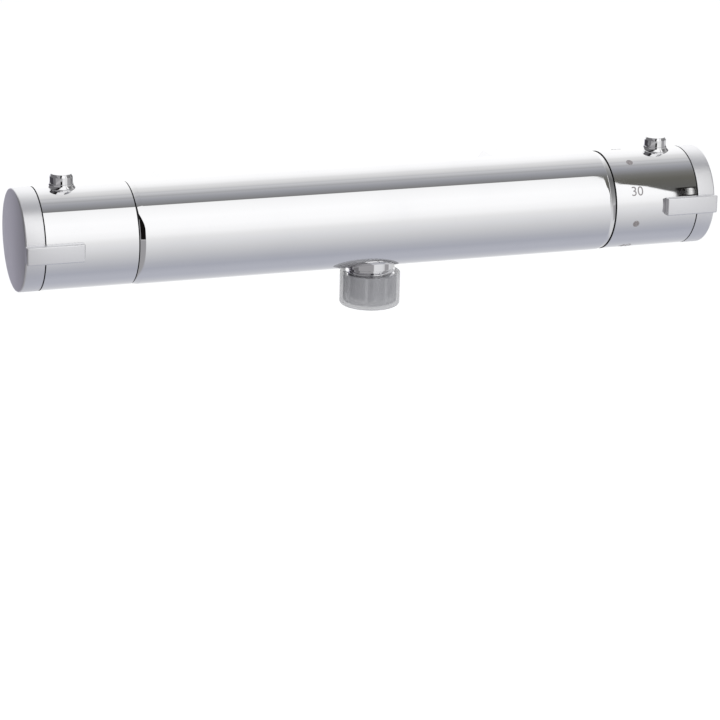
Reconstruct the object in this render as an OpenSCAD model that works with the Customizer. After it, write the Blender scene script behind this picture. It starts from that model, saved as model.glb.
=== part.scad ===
// Bar-shaped thermostatic shower mixing valve.
// Millimetres. The origin lies midway between the two wall unions, in the plane of their open ends.
// +X runs along the bar to the temperature handle, +Y points into the wall and +Z points up.

/* [Body] */
// Outside diameter of the chromed body
body_d = 43; // [41:0.5:46]
// From the middle of an inlet to the near end of the body, when the outlet lies midway
end_reach = 30; // [29.5:0.5:40]
// Wall of the chromed shell
shell_wall = 2; // [1.6:0.1:2.4]
// Length of the chamfer at each end of the shell
chamfer_len = 2.4; // [1:0.1:2.6]
// Depth of that chamfer
chamfer_depth = 0.55; // [0.3:0.05:0.7]
// How far the middle of the bar lies to the left of the outlet
bar_shift = 1.5; // [0:0.5:2]

/* [Handles] */
// How far both handles and end caps lie below the surface of the body
handle_step = 0.3; // [0:0.05:0.8]
// Length of a handle's polished sleeve
handle_len = 38.2; // [37:0.2:44]
// Wall of a handle's sleeve
handle_wall = 2.4; // [2:0.1:2.6]
// Gap at the seam between body and handle
seam_gap = 0.4; // [0.3:0.05:0.6]
// Gap at the seam between handle and end cap
cap_gap = 0.3; // [0.2:0.05:0.5]
// Length of the satin end cap's rim
cap_len = 8.1; // [7:0.1:10]
// Thickness of the end cap's face
cap_face_t = 3; // [2:0.1:4]
// Height of the lever tab, measured round the handle
tab_w = 7.6; // [6:0.2:10]
// Length of the lever tab along the handle
tab_len = 23.8; // [16:0.2:28]
// How far the tab's flat front stands proud of the handle
tab_proud = 2.65; // [2:0.05:4]
// Turn of the flow handle's end cap, tab downwards
flow_cap_turn = 2.2; // [0:0.2:3]
// Turn of the temperature handle's end cap, tab upwards
temp_cap_turn = 2.2; // [0:0.2:3]

/* [Override buttons] */
// Diameter of a button
button_d = 9.5; // [8.5:0.1:10]
// Height of a button above the handle
button_h = 5.35; // [3.4:0.05:6]
// Distance of a button from the handle's outer end
button_inset = 11.5; // [11.2:0.1:12.5]
// Travel of a button when it is pressed
button_travel = 1.8; // [1.2:0.1:2]
// Wall of the flared collar round a button, at its foot
collar_wall = 0.6; // [0.5:0.05:0.7]
// Height of the flared collar above the handle
collar_h = 1.5; // [1:0.1:1.6]

/* [Inlets] */
// Distance between the two inlets
inlet_spacing = 150; // [146:1:152]
// Size across the flats of a union nut
nut_flats = 30; // [29.5:0.5:33]
// Length of a union nut
nut_len = 17; // [15:0.5:22]
// Gap between an inlet's flange and its union nut
nut_gap = 0.5; // [0.3:0.1:8]
// Minor diameter of the nut's G3/4 thread
nut_thread_d = 24.12; // [24:0.02:24.4]

/* [Outlet] */
// Major diameter of the outlet's G1/2 thread
outlet_thread_d = 20.96; // [20.6:0.02:21]
// How far the outlet's stub stands proud of the body
outlet_proud = 13.5; // [12.5:0.5:16.5]
// Bore of the outlet stub
outlet_bore_d = 15.2; // [13:0.2:16]
// Outside diameter of the plastic thread protector
protector_d = 25.6; // [25:0.1:28]
// Height of the plastic thread protector
protector_h = 14.2; // [13:0.1:15]
// Wall of the plastic thread protector
protector_wall = 1.5; // [1.2:0.1:1.6]
// Number of gripping ribs inside the protector
protector_ribs = 8; // [6:1:12]

/* [Cartridges] */
// Outside diameter of both cartridges
cartridge_d = 24.2; // [23.4:0.1:24.6]
// Diameter of a cartridge spindle's journal
spindle_d = 10; // [9.6:0.1:10.4]
// Turn of the flow handle from shut to fully open
flow_open_angle = 90; // [60:5:120]
// Turn of the temperature handle towards cold
cold_angle = 105; // [60:5:110]
// Turn of the temperature handle towards hot
hot_angle = 130; // [60:5:130]

/* [Hidden] */
$fn = 96;

// Clearances: a push fit, a shaft that turns, a loose part, and two faces that nearly touch
fit = 0.1;
running = 0.06;
loose = 0.3;
face_gap = 0.1;
// Overrun of every cut
cut = 1;

// Body shell and the brass core inside it
body_r = body_d / 2;
body_half = inlet_spacing / 2 + end_reach;
body_len = 2 * body_half;
shell_ri = body_r - shell_wall;
core_r = shell_ri - fit;
waist_step = 3.4;
waist_r = core_r - waist_step;
core_inset = 3;
core_end = body_half - core_inset;
centre_ring_half = 14;

// Cartridge seats: a chamber, and a wider bore that takes the retaining nut
cartridge_r = cartridge_d / 2;
chamber_r = cartridge_r + fit;
retainer_wall = 3.9;
retainer_r = chamber_r + retainer_wall;
retainer_bore_depth = 10;
seat_u = core_end - retainer_bore_depth;
flange_t = 2.6;
flange_r = retainer_r - fit;
retainer_len = 6.8;
retainer_u = seat_u + flange_t + face_gap;
retainer_slot_w = 4;
retainer_slot_depth = 2;
retainer_slots = 4;

// Outer stretch that both cartridges share
head_inset = 3;
head_end_u = core_end - head_inset;
neck_r = 8.5;
neck_reach = 2;
neck_end_u = core_end + neck_reach;
spindle_r = spindle_d / 2;
journal_bore_r = spindle_r + running;

// Splined and drilled outer end of both spindles
spline_teeth = 12;
spline_depth = 0.6;
spline_shares = [0.12, 0.3, 0.7, 0.88];
spline_r = spindle_r - fit;
spline_len = 10;
spline_end_u = neck_end_u + spline_len;
screw_r = 1.95;
screw_hole_r = screw_r + fit;
screw_grip = 7;
screw_tip_u = spline_end_u - screw_grip;
screw_hole_u = screw_tip_u - screw_r;

// Flow cartridge
flow_chamber_depth = 15;
flow_floor_u = core_end - flow_chamber_depth;
cavity_wall = 2.1;
disc_cavity_r = cartridge_r - cavity_wall;
disc_r = disc_cavity_r - fit;
moving_disc_r = disc_cavity_r - loose;
disc_t = 2.6;
port_seal_t = 1.1;
port_seal_u = flow_floor_u + face_gap / 2;
fixed_disc_u = port_seal_u + port_seal_t + face_gap / 2;
moving_disc_u = fixed_disc_u + disc_t + face_gap / 2;
foot_u = moving_disc_u + disc_t + face_gap;
foot_t = 2.6;
foot_r = disc_cavity_r - loose;
cavity_end_u = foot_u + foot_t + face_gap;
port_rim = 2.2;
port_r = disc_r - port_rim;
port_bridge = 3.4;
window_rim = 1.6;
window_r = port_r - window_rim;
dog_r = 1.1;
dog_orbit = moving_disc_r - dog_r - fit - face_gap;
dog_depth = 1.3;
dog_count = 4;

// Thermostat: its cold ports lie behind the cold inlet, and the hot passage meets its hot ports
cold_port_back = 25.5;
cold_port_u = core_end - cold_port_back;
port_pitch = 24;
hot_port_u = cold_port_u - port_pitch;
shoulder_back = 8.5;
spring_shoulder_u = hot_port_u - shoulder_back;
shoulder_t = 1.6;
thermostat_end_u = spring_shoulder_u - shoulder_t;
mix_plenum = 2;
thermo_floor_u = thermostat_end_u - mix_plenum;
mix_opening_r = 4.8;
barrel_wall = 2.6;
barrel_r = cartridge_r - barrel_wall;
port_hole_r = 1.8;
port_holes = 6;
port_groove_half = 2.4;
port_groove_depth = 1;
screen_half = 3.2;
screen_t = 0.6;
screen_holes = 18;
screen_hole_r = 0.7;
screen_rows = 3;
o_ring_r = 0.85;
o_ring_gap = 0.05;
o_ring_groove_half = o_ring_r + 3 * o_ring_gap;
o_ring_centre_r = chamber_r - o_ring_gap - o_ring_r;
o_ring_groove_r = o_ring_centre_r - o_ring_r - o_ring_gap;
inner_ring_back = 5.5;
outer_ring_reach = 10;
thermo_o_ring_us = [
    hot_port_u - inner_ring_back,
    (hot_port_u + cold_port_u) / 2,
    cold_port_u + outer_ring_reach
];

// Regulating slide and wax element
slide_r = barrel_r - running - o_ring_gap / 2;
slide_wall = 1.8;
slide_ri = slide_r - slide_wall;
port_lap = 0.6;
slide_u = hot_port_u + port_lap;
slide_end_u = cold_port_u - port_lap;
slide_web_offset = 13;
slide_web_t = 2.2;
slide_web_u = slide_u + slide_web_offset;
slide_hole_r = 1.3;
slide_hole_inset = 2.3;
slide_hole_orbit = slide_ri - slide_hole_inset;
slide_holes = 6;
bulb_r = 4;
bulb_inset = 3;
bulb_u = spring_shoulder_u + bulb_inset;
bulb_tip_r = 2.4;
bulb_tip_len = 1.4;
element_flange_r = 4.9;
element_flange_t = 2.2;
element_neck_r = 2.9;
element_neck_len = 3.4;
piston_r = 1.5;
return_spring_r = 6;
return_wire_r = 0.7;
return_turns = 7;

// Spindle and lift nut that turn the handle's turning into the slide's travel
lift_travel = 2.3;
hex_bore_flats = 15;
lift_flats = hex_bore_flats - 2 * loose;
plate_depth = 9.6;
plate_u = core_end - plate_depth;
collar_t = 2.3;
spindle_collar_u = plate_u - face_gap - collar_t;
spindle_collar_r = hex_bore_flats / 2 - 2 * loose;
lift_len = 8;
lift_cup_t = 2;
lift_cup_r = 6.5;
lift_end_u = spindle_collar_u - lift_travel - loose;
lift_u = lift_end_u - lift_len;
lift_thread_r = 3.6;
lift_thread_engage = lift_len - lift_cup_t - lift_travel - loose;
hex_bore_u = lift_u + lift_cup_t - lift_travel;

// Handles, hubs and stops
handle_r = body_r - handle_step;
handle_ri = handle_r - handle_wall;
handle_u = body_half + seam_gap;
handle_end_u = handle_u + handle_len;
cap_u = handle_end_u + cap_gap;
cap_end_u = cap_u + cap_len;
edge_round = 0.35;
edge_steps = 4;
web_inset = 4.1;
web_t = 3;
web_outer_u = handle_end_u - web_inset;
web_u = web_outer_u - web_t;
hub_r = 6.3;
hub_u = neck_end_u + 2 * loose;
hub_flange_r = 11;
hub_flange_t = 2.8;
hub_flange_u = web_u - face_gap - hub_flange_t;
hub_lug_r = 1.5;
hub_lug_orbit = 8.4;
hub_lug_h = 1.6;
hub_lugs = 3;
screw_head_r = 3.5;
screw_head_t = 2.4;
screw_socket_flats = 2.5;
screw_socket_depth = 1.6;

// Ring under the seam between body and handle
glide_u = core_end + face_gap;
glide_end_u = handle_u - face_gap;
glide_wall = 1.9;
glide_r = shell_ri - fit;
glide_ri = glide_r - glide_wall;

// End cap
cap_spigot_wall = 2.1;
cap_spigot_len = web_inset - loose;
cap_round = 0.7;
tab_chamfer = 0.45;
tab_under_gap = 0.15;
tab_root = 3;

// Button and what it works against
button_r = button_d / 2;
button_u = handle_end_u - button_inset;
collar_top_wall = 0.25;
collar_ri = button_r + running;
collar_r = collar_ri + collar_wall;
button_bore_r = collar_r + fit / 2;
button_flange_r = collar_r - fit;
button_flange_t = 1;
collar_seat_rise = 0.5;
collar_foot_z = handle_ri + collar_seat_rise;
button_flange_z = collar_foot_z - face_gap - button_flange_t;
button_spring_room = 3.8;
boss_floor_z = button_flange_z - button_spring_room;
boss_floor_t = 1.2;
boss_z = boss_floor_z - boss_floor_t;
boss_wall = 1.95;
boss_r = button_bore_r + boss_wall;
catch_r = 1.3;
catch_reach = 2.1;
catch_tip_z = boss_z - catch_reach;
catch_hole_r = catch_r + fit;
button_round = 0.5;
button_wire_r = 0.22;
button_turns = 3.5;
button_spring_r = 3.4;

// Fixed stops that the button's catch pin turns against
stop_sleeve_ri = hub_r + loose;
stop_sleeve_r = catch_tip_z - button_travel - loose;
stop_base_r = 12;
stop_base_u = core_end - face_gap;
stop_base_t = 3.4;
stop_end_u = hub_flange_u - loose;
stop_lug_r = boss_z - loose;
stop_lug_len = 4;
stop_lug_arc = 16;
stop_margin = 9.5;
override_arc = 6;
override_tooth_r = catch_tip_z - loose;
flow_override_angle = 45;
temp_override_angle = 37;

// Inlets, measured from the bar's axis towards the wall
tail_flange_r = 12;
tail_flange_proud = 2;
tail_flange_end_u = body_r + tail_flange_proud;
tail_seat_depth = 2.4;
tail_seat_u = core_r - tail_seat_depth;
tail_spigot_r = 9.4;
tail_spigot_u = chamber_r + loose + 2 * fit;
tail_bore_r = 6.2;
nut_u = tail_flange_end_u + nut_gap;
wall_reach = nut_u + nut_len;
nut_lip_t = 3;
nut_relief_len = 5;
nut_mouth = 1;
nut_thread_r = nut_thread_d / 2;
nut_relief_depth = 0.44;
nut_relief_r = nut_thread_r + nut_relief_depth;
nut_end_share = 0.92;
nut_chamfer_rise = 1.3;
nut_lip_step = 1;
nut_lip_r = nut_thread_r - nut_lip_step;
tail_neck_r = nut_lip_r - loose;
tail_collar_r = nut_thread_r - 2 * fit;
tail_collar_u = nut_u + nut_lip_t + face_gap;
washer_t = 2;
tail_end_u = nut_u + nut_lip_t + nut_relief_len - face_gap - washer_t;
washer_r = tail_collar_r;
washer_ri = 6.4;
inlet_o_ring_r = 0.9;
spigot_lip = 0.5;
inlet_groove_u = tail_spigot_u + spigot_lip + inlet_o_ring_r;
inlet_cavity_u = 6.5;

// Check valve
check_r = 7.5;
check_len = 13;
check_recess = 0.2;
check_bore_r = check_r + fit;
check_end_u = tail_end_u - check_recess;
check_u = check_end_u - check_len;
seat_t = 2;
seat_r = 4.2;
check_chamber_r = 5.9;
spider_t = 2;
stem_r = 1.22;
stem_bore_r = stem_r + running;
spider_hole_r = 1.3;
spider_hole_orbit = (stem_bore_r + check_chamber_r) / 2;
spider_holes = 4;
poppet_r = 5.2;
poppet_t = 1.5;
poppet_nose_r = 3.8;
poppet_nose_h = 1;
poppet_end_u = check_end_u - seat_t - face_gap;
poppet_u = poppet_end_u - poppet_t;
stem_proud = 1.5;
stem_tip_u = check_u - stem_proud;
check_spring_r = 2.4;
check_wire_r = 0.35;
check_turns = 5;

// Passages drilled through the core
hot_channel_r = 2.4;
hot_channel_far_y = (chamber_r + core_r) / 2;
hot_channel_lift = 3.4;
hot_channel_near_y = inlet_cavity_u + hot_channel_lift;
hot_drilling_r = 2;
passage_r = 2.9;
passage_wall = 1.7;
passage_z = passage_r + passage_wall;
outlet_well_r = 6;

// Outlet, measured from the bar's axis downwards
outlet_r = outlet_thread_d / 2;
outlet_reach = body_r + outlet_proud;
outlet_seat_depth = 0.9;
outlet_seat_d = core_r - outlet_seat_depth;
outlet_spigot_step = 1.1;
outlet_spigot_r = outlet_r - outlet_spigot_step;
outlet_spigot_len = 7.2;
outlet_spigot_top = outlet_seat_d - outlet_spigot_len;
outlet_bore_top = outlet_spigot_top - 2 * loose;
outlet_socket_flats = 12;
outlet_socket_depth = 9;
outlet_mouth = 1;
outlet_o_ring_r = 0.75;
outlet_groove_back = 2.4;
outlet_groove_d = outlet_seat_d - outlet_groove_back;
protector_r = protector_d / 2;
protector_stand_off = 2.85;
protector_top = body_r + protector_stand_off;
protector_end = protector_top + protector_h;
protector_floor_t = 1.5;
protector_ri = protector_r - protector_wall;
protector_round = 1.3;
rib_tip_r = outlet_r + loose;
rib_w = 1.2;
rib_turn = 18;

function polar(r, a) = [r * cos(a), r * sin(a)];

// Points of a quarter round from angle a1 to a2 about a centre
function arc(centre, r, a1, a2, steps) =
    [for (i = [0 : steps]) centre + polar(r, a1 + (a2 - a1) * i / steps)];

// Angle in an extrusion's plane of a place on the dial, counted from the top towards the wall
function dial(a) = 180 - a;

// Places a child that is drawn about the bar's own middle
module bar() {
    translate([-bar_shift, -wall_reach, 0]) children();
}

// Places a child that is drawn outwards along +X at the right end, or mirrored at the left end
module side(s) {
    bar() mirror([s < 0 ? 1 : 0, 0, 0]) children();
}

// Turns a shape that rises along +Z so that it runs outwards along the bar from u
module along(u) {
    translate([u, 0, 0]) rotate([0, 90, 0]) children();
}

// Places a child that rises along +Z so that it runs from the bar's axis towards the wall
module inlet(s) {
    translate([s * inlet_spacing / 2, -wall_reach, 0]) rotate([-90, 0, 0]) children();
}

// Places a child that rises along +Z so that it runs from the bar's axis straight down
module outlet() {
    translate([0, -wall_reach, 0]) mirror([0, 0, 1]) children();
}

module rod(u1, u2, r) {
    along(u1) cylinder(h = u2 - u1, r = r);
}

module tube(u1, u2, ro, ri) {
    difference() {
        rod(u1, u2, ro);
        rod(u1 - cut, u2 + cut, ri);
    }
}

// Ring of round section about +Z, at height h
module o_ring(h, centre_r, section_r) {
    translate([0, 0, h]) rotate_extrude() translate([centre_r, 0]) circle(r = section_r, $fn = 32);
}

module hexagon(flats) {
    circle(r = flats / sqrt(3), $fn = 6);
}

// Pie slice from angle a1 to a2, as an outline
module pie(r, a1, a2) {
    steps = 12;
    polygon(concat([[0, 0]], [for (i = [0 : steps]) polar(r, a1 + (a2 - a1) * i / steps)]));
}

// Toothed outline of a splined shaft, or of its socket when r is larger
module spline(r) {
    step = 360 / spline_teeth;
    polygon([for (i = [0 : spline_teeth - 1], j = [0 : 3])
        polar(j == 0 || j == 3 ? r - spline_depth : r, (i + spline_shares[j]) * step)]);
}

// Compression spring as one tube wound along +Z from height z1 to z2
module coil(z1, z2, centre_r, wire_r, turns) {
    per_turn = 8;
    sides = 6;
    rings = ceil(turns * per_turn);
    rise = z2 - z1 - 2 * wire_r;
    points = [for (i = [0 : rings], k = [0 : sides - 1])
        let (
            a = 360 * turns * i / rings,
            p = polar(centre_r + wire_r * cos(360 * k / sides), a)
        ) [p[0], p[1], z1 + wire_r + rise * i / rings + wire_r * sin(360 * k / sides)]];
    gaps = [for (i = [0 : rings - per_turn])
        norm(points[(i + per_turn) * sides] - points[i * sides]) - 2 * wire_r];
    echo(str("least gap of a spring to itself: ", min(gaps)));
    walls = [for (i = [0 : rings - 1], k = [0 : sides - 1], half = [0, 1])
        let (
            a = i * sides + k,
            b = i * sides + (k + 1) % sides
        ) half == 0 ? [a, b, b + sides] : [a, b + sides, a + sides]];
    caps = [for (k = [1 : sides - 2], end = [0, 1])
        end == 0 ? [0, k + 1, k] : [rings * sides, rings * sides + k, rings * sides + k + 1]];
    polyhedron(points = points, faces = concat(walls, caps), convexity = 6);
}

// Chromed outer shell, open at both ends, with saddle cuts for inlets and outlet
module body_shell() {
    color("gainsboro") difference() {
        bar() along(-body_half) rotate_extrude($fn = 160) polygon([
            [shell_ri, 0],
            [body_r - chamfer_depth, 0],
            [body_r, chamfer_len],
            [body_r, body_len - chamfer_len],
            [body_r - chamfer_depth, body_len],
            [shell_ri, body_len]
        ]);
        for (s = [-1, 1]) inlet(s) cylinder(h = body_d, r = tail_flange_r + fit);
        outlet() cylinder(h = body_d, r = outlet_r + fit);
    }
}

// Brass waterway: two cartridge chambers, joined by drilled hot, mixed and outgoing passages
module waterway_core() {
    left_block_u = inlet_spacing / 2 - bar_shift - tail_flange_r;
    hot_run = inlet_spacing / 2 - bar_shift + hot_port_u;
    hot_rise = hot_channel_far_y - hot_channel_near_y;
    color("goldenrod") difference() {
        union() {
            bar() rod(-core_end, core_end, waist_r);
            side(-1) rod(left_block_u, core_end, core_r);
            side(1) rod(bar_shift - centre_ring_half, core_end, core_r);
        }
        side(-1) rod(flow_floor_u, core_end + cut, chamber_r);
        side(1) rod(thermo_floor_u, core_end + cut, chamber_r);
        for (s = [-1, 1]) {
            side(s) rod(seat_u, core_end + cut, retainer_r + fit);
            inlet(s) translate([0, 0, tail_seat_u]) cylinder(h = core_r, r = tail_flange_r + fit);
            inlet(s) translate([0, 0, tail_spigot_u - face_gap])
                cylinder(h = core_r, r = tail_spigot_r + fit);
            inlet(s) translate([0, 0, inlet_cavity_u]) cylinder(h = core_r, r = tail_bore_r);
        }
        outlet() translate([0, 0, outlet_seat_d]) cylinder(h = core_r, r = outlet_r + fit);
        outlet() translate([0, 0, outlet_bore_top]) cylinder(h = core_r, r = outlet_spigot_r + fit);
        // Hot water runs from the left inlet to the ring of hot ports in the right chamber
        translate([-inlet_spacing / 2, hot_channel_near_y - wall_reach, 0])
            rotate([0, 0, atan2(hot_rise, hot_run)])
                rod(0, norm([hot_run, hot_rise]) + 2 * hot_channel_r, hot_channel_r);
        side(1) translate([hot_port_u, 0, 0]) rotate([-90, 0, 0])
            cylinder(h = hot_channel_far_y, r = hot_drilling_r);
        // Mixed water runs from the thermostat's inner end to the flow cartridge
        bar() translate([0, 0, passage_z]) rod(-flow_floor_u - cut, thermo_floor_u + cut, passage_r);
        // Metered water runs back from the flow cartridge to the outlet
        bar() translate([0, 0, -passage_z]) rod(-flow_floor_u - cut, bar_shift, passage_r);
        outlet() translate([0, 0, passage_z]) cylinder(h = core_r, r = outlet_well_r);
    }
}

// Brass inlet tail that screws into the core and keeps the union nut captive behind its collar
module inlet_tail(s) {
    color("silver") inlet(s) difference() {
        rotate_extrude() polygon([
            [tail_bore_r, tail_spigot_u],
            [tail_spigot_r, tail_spigot_u],
            [tail_spigot_r, inlet_groove_u - inlet_o_ring_r],
            [tail_spigot_r - 2 * inlet_o_ring_r, inlet_groove_u - inlet_o_ring_r],
            [tail_spigot_r - 2 * inlet_o_ring_r, inlet_groove_u + inlet_o_ring_r],
            [tail_spigot_r, inlet_groove_u + inlet_o_ring_r],
            [tail_spigot_r, tail_seat_u],
            [tail_flange_r, tail_seat_u],
            [tail_flange_r, tail_flange_end_u - edge_round],
            [tail_flange_r - edge_round, tail_flange_end_u],
            [tail_neck_r, tail_flange_end_u],
            [tail_neck_r, tail_collar_u],
            [tail_collar_r, tail_collar_u],
            [tail_collar_r, tail_end_u],
            [check_bore_r, tail_end_u],
            [check_bore_r, check_u - face_gap],
            [tail_bore_r, check_u - face_gap]
        ]);
    }
}

module inlet_tail_hot() {
    inlet_tail(-1);
}

module inlet_tail_cold() {
    inlet_tail(1);
}

module inlet_o_rings() {
    section_r = inlet_o_ring_r - fit / 2;
    color("dimgray") for (s = [-1, 1]) inlet(s)
        o_ring(inlet_groove_u, tail_spigot_r - section_r + fit / 2, section_r);
}

// Both non-return valve housings, each with a seat at its outer end and a drilled spider inside
module check_valve_housings() {
    color("white") for (s = [-1, 1]) inlet(s) difference() {
        rotate_extrude() polygon([
            [stem_bore_r, check_u],
            [check_r, check_u],
            [check_r, check_end_u],
            [seat_r, check_end_u],
            [seat_r, check_end_u - seat_t],
            [check_chamber_r, check_end_u - seat_t],
            [check_chamber_r, check_u + spider_t],
            [stem_bore_r, check_u + spider_t]
        ]);
        for (i = [0 : spider_holes - 1]) rotate([0, 0, (i + 0.5) * 360 / spider_holes])
            translate([spider_hole_orbit, 0, check_u - cut])
                cylinder(h = spider_t + 2 * cut, r = spider_hole_r, $fn = 24);
    }
}

module check_poppet(s) {
    color("ivory") inlet(s) rotate_extrude() polygon([
        [0, stem_tip_u],
        [stem_r, stem_tip_u],
        [stem_r, poppet_u],
        [poppet_r, poppet_u],
        [poppet_r, poppet_end_u],
        [poppet_nose_r, poppet_end_u],
        [poppet_nose_r / 2, poppet_end_u + poppet_nose_h],
        [0, poppet_end_u + poppet_nose_h]
    ]);
}

module check_poppet_hot() {
    check_poppet(-1);
}

module check_poppet_cold() {
    check_poppet(1);
}

module check_spring(s) {
    color("silver") inlet(s) coil(
        check_u + spider_t + face_gap, poppet_u - face_gap,
        check_spring_r, check_wire_r, check_turns);
}

module check_spring_hot() {
    check_spring(-1);
}

module check_spring_cold() {
    check_spring(1);
}

// Sealing washers in the union nuts
module filter_washers() {
    color("dimgray") for (s = [-1, 1]) inlet(s) translate([0, 0, tail_end_u]) difference() {
        cylinder(h = washer_t, r = washer_r);
        translate([0, 0, -cut]) cylinder(h = washer_t + 2 * cut, r = washer_ri);
    }
}

// Hexagon union nut with chamfered corners, a captive lip and a relieved thread bore
module union_nut(s) {
    corner_r = nut_flats / sqrt(3);
    end_r = corner_r * nut_end_share;
    top_u = nut_u + nut_len;
    color("gainsboro") inlet(s) difference() {
        intersection() {
            translate([0, 0, nut_u]) linear_extrude(height = nut_len) hexagon(nut_flats);
            rotate_extrude() polygon([
                [0, nut_u],
                [end_r, nut_u],
                [corner_r, nut_u + nut_chamfer_rise],
                [corner_r, top_u - nut_chamfer_rise],
                [end_r, top_u],
                [0, top_u]
            ]);
        }
        rotate_extrude() polygon([
            [0, nut_u - cut],
            [nut_lip_r, nut_u - cut],
            [nut_lip_r, nut_u + nut_lip_t],
            [nut_relief_r, nut_u + nut_lip_t],
            [nut_relief_r, nut_u + nut_lip_t + nut_relief_len],
            [nut_thread_r, nut_u + nut_lip_t + nut_relief_len],
            [nut_thread_r, top_u - nut_mouth],
            [nut_thread_r + nut_mouth, top_u],
            [nut_thread_r + nut_mouth, top_u + cut],
            [0, top_u + cut]
        ]);
    }
}

module union_nut_hot() {
    union_nut(-1);
}

module union_nut_cold() {
    union_nut(1);
}

// Outlet stub: screwed into the core, with a hexagon socket inside to drive it
module outlet_stub() {
    groove_half = outlet_o_ring_r;
    color("gainsboro") outlet() difference() {
        rotate_extrude() polygon([
            [0, outlet_spigot_top],
            [outlet_spigot_r, outlet_spigot_top],
            [outlet_spigot_r, outlet_groove_d - groove_half],
            [outlet_spigot_r - 2 * groove_half, outlet_groove_d - groove_half],
            [outlet_spigot_r - 2 * groove_half, outlet_groove_d + groove_half],
            [outlet_spigot_r, outlet_groove_d + groove_half],
            [outlet_spigot_r, outlet_seat_d],
            [outlet_r, outlet_seat_d],
            [outlet_r, outlet_reach - outlet_mouth],
            [outlet_r - outlet_mouth, outlet_reach],
            [0, outlet_reach]
        ]);
        translate([0, 0, outlet_spigot_top - cut]) linear_extrude(height = outlet_reach)
            hexagon(outlet_socket_flats);
        translate([0, 0, outlet_spigot_top + outlet_socket_depth])
            cylinder(h = outlet_reach, r = outlet_bore_d / 2);
    }
}

module outlet_o_ring() {
    section_r = outlet_o_ring_r - fit / 2;
    color("dimgray") outlet()
        o_ring(outlet_groove_d, outlet_spigot_r - section_r + fit / 2, section_r);
}

// Translucent push-on protector for the outlet thread, with gripping ribs inside
module thread_protector() {
    color("whitesmoke", 0.5) outlet() difference() {
        rotate_extrude() polygon(concat(
            [[0, protector_top], [protector_r, protector_top]],
            arc([protector_r - protector_round, protector_end - protector_round],
                protector_round, 0, 90, 6),
            [[0, protector_end]]
        ));
        difference() {
            translate([0, 0, protector_top - cut])
                cylinder(h = protector_h - protector_floor_t + cut, r = protector_ri);
            for (i = [0 : protector_ribs - 1]) rotate([0, 0, rib_turn + i * 360 / protector_ribs])
                translate([rib_tip_r, -rib_w / 2, protector_top])
                    cube([protector_wall + cut, rib_w, protector_h]);
        }
    }
}

// Dark plastic ring that the handle's inner edge glides on, seen in the seam
module glide_ring(s) {
    color("black") side(s) tube(glide_u, glide_end_u, glide_r, glide_ri);
}

module flow_glide_ring() {
    glide_ring(-1);
}

module temp_glide_ring() {
    glide_ring(1);
}

// Outline that both cartridge bodies share, from their inner end at u
module cartridge_blank(u) {
    rod(u, head_end_u, cartridge_r);
    rod(seat_u, seat_u + flange_t, flange_r);
    rod(head_end_u - cut, neck_end_u, neck_r);
}

module flow_cartridge_body() {
    color("khaki") side(-1) difference() {
        cartridge_blank(flow_floor_u + loose);
        rod(flow_floor_u, cavity_end_u, disc_cavity_r);
        rod(cavity_end_u - cut, neck_end_u + cut, journal_bore_r);
    }
}

// Outline of a ceramic disc's two half-round ports
module disc_ports() {
    difference() {
        circle(r = port_r);
        square([port_bridge, 2 * port_r + cut], center = true);
    }
}

module flow_port_seal() {
    color("dimgray") side(-1) along(port_seal_u) linear_extrude(height = port_seal_t)
        difference() {
            circle(r = disc_r);
            disc_ports();
        }
}

module flow_fixed_disc() {
    color("white") side(-1) along(fixed_disc_u) linear_extrude(height = disc_t)
        difference() {
            circle(r = disc_r);
            disc_ports();
        }
}

// Moving ceramic disc: a closed face but for one half-round window, and holes for the drive dogs
module flow_moving_disc() {
    color("whitesmoke") side(-1) along(moving_disc_u) difference() {
        cylinder(h = disc_t, r = moving_disc_r);
        translate([0, 0, -cut]) linear_extrude(height = disc_t / 2 + cut) difference() {
            circle(r = window_r);
            translate([-window_r, 0]) square(2 * window_r, center = true);
        }
        for (i = [0 : dog_count - 1]) rotate([0, 0, (i + 0.5) * 360 / dog_count])
            translate([dog_orbit, 0, disc_t - dog_depth - face_gap])
                cylinder(h = disc_t, r = dog_r + fit, $fn = 24);
    }
}

// Splined and drilled outer end that both spindles share
module spindle_outer(u) {
    difference() {
        union() {
            rod(u, neck_end_u, spindle_r);
            along(neck_end_u - cut) linear_extrude(height = spline_end_u - neck_end_u + cut)
                spline(spline_r);
        }
        rod(screw_hole_u, spline_end_u + cut, screw_hole_r);
    }
}

module flow_spindle() {
    color("silver") side(-1) {
        spindle_outer(foot_u + foot_t - cut);
        rod(foot_u, foot_u + foot_t, foot_r);
        for (i = [0 : dog_count - 1]) rotate([(i + 0.5) * 360 / dog_count, 0, 0])
            translate([0, 0, dog_orbit]) rod(foot_u - dog_depth, foot_u + cut, dog_r, $fn = 24);
    }
}

// Brass nut that clamps a cartridge in its chamber, slotted for a pin spanner
module retaining_nut(s) {
    color("darkgoldenrod") side(s) difference() {
        tube(retainer_u, retainer_u + retainer_len, retainer_r, chamber_r + fit);
        for (i = [0 : retainer_slots - 1]) rotate([i * 360 / retainer_slots, 0, 0])
            translate([retainer_u + retainer_len - retainer_slot_depth, -retainer_slot_w / 2, 0])
                cube([retainer_len, retainer_slot_w, retainer_r + cut]);
    }
}

module flow_retaining_nut() {
    retaining_nut(-1);
}

module temp_retaining_nut() {
    retaining_nut(1);
}

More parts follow.
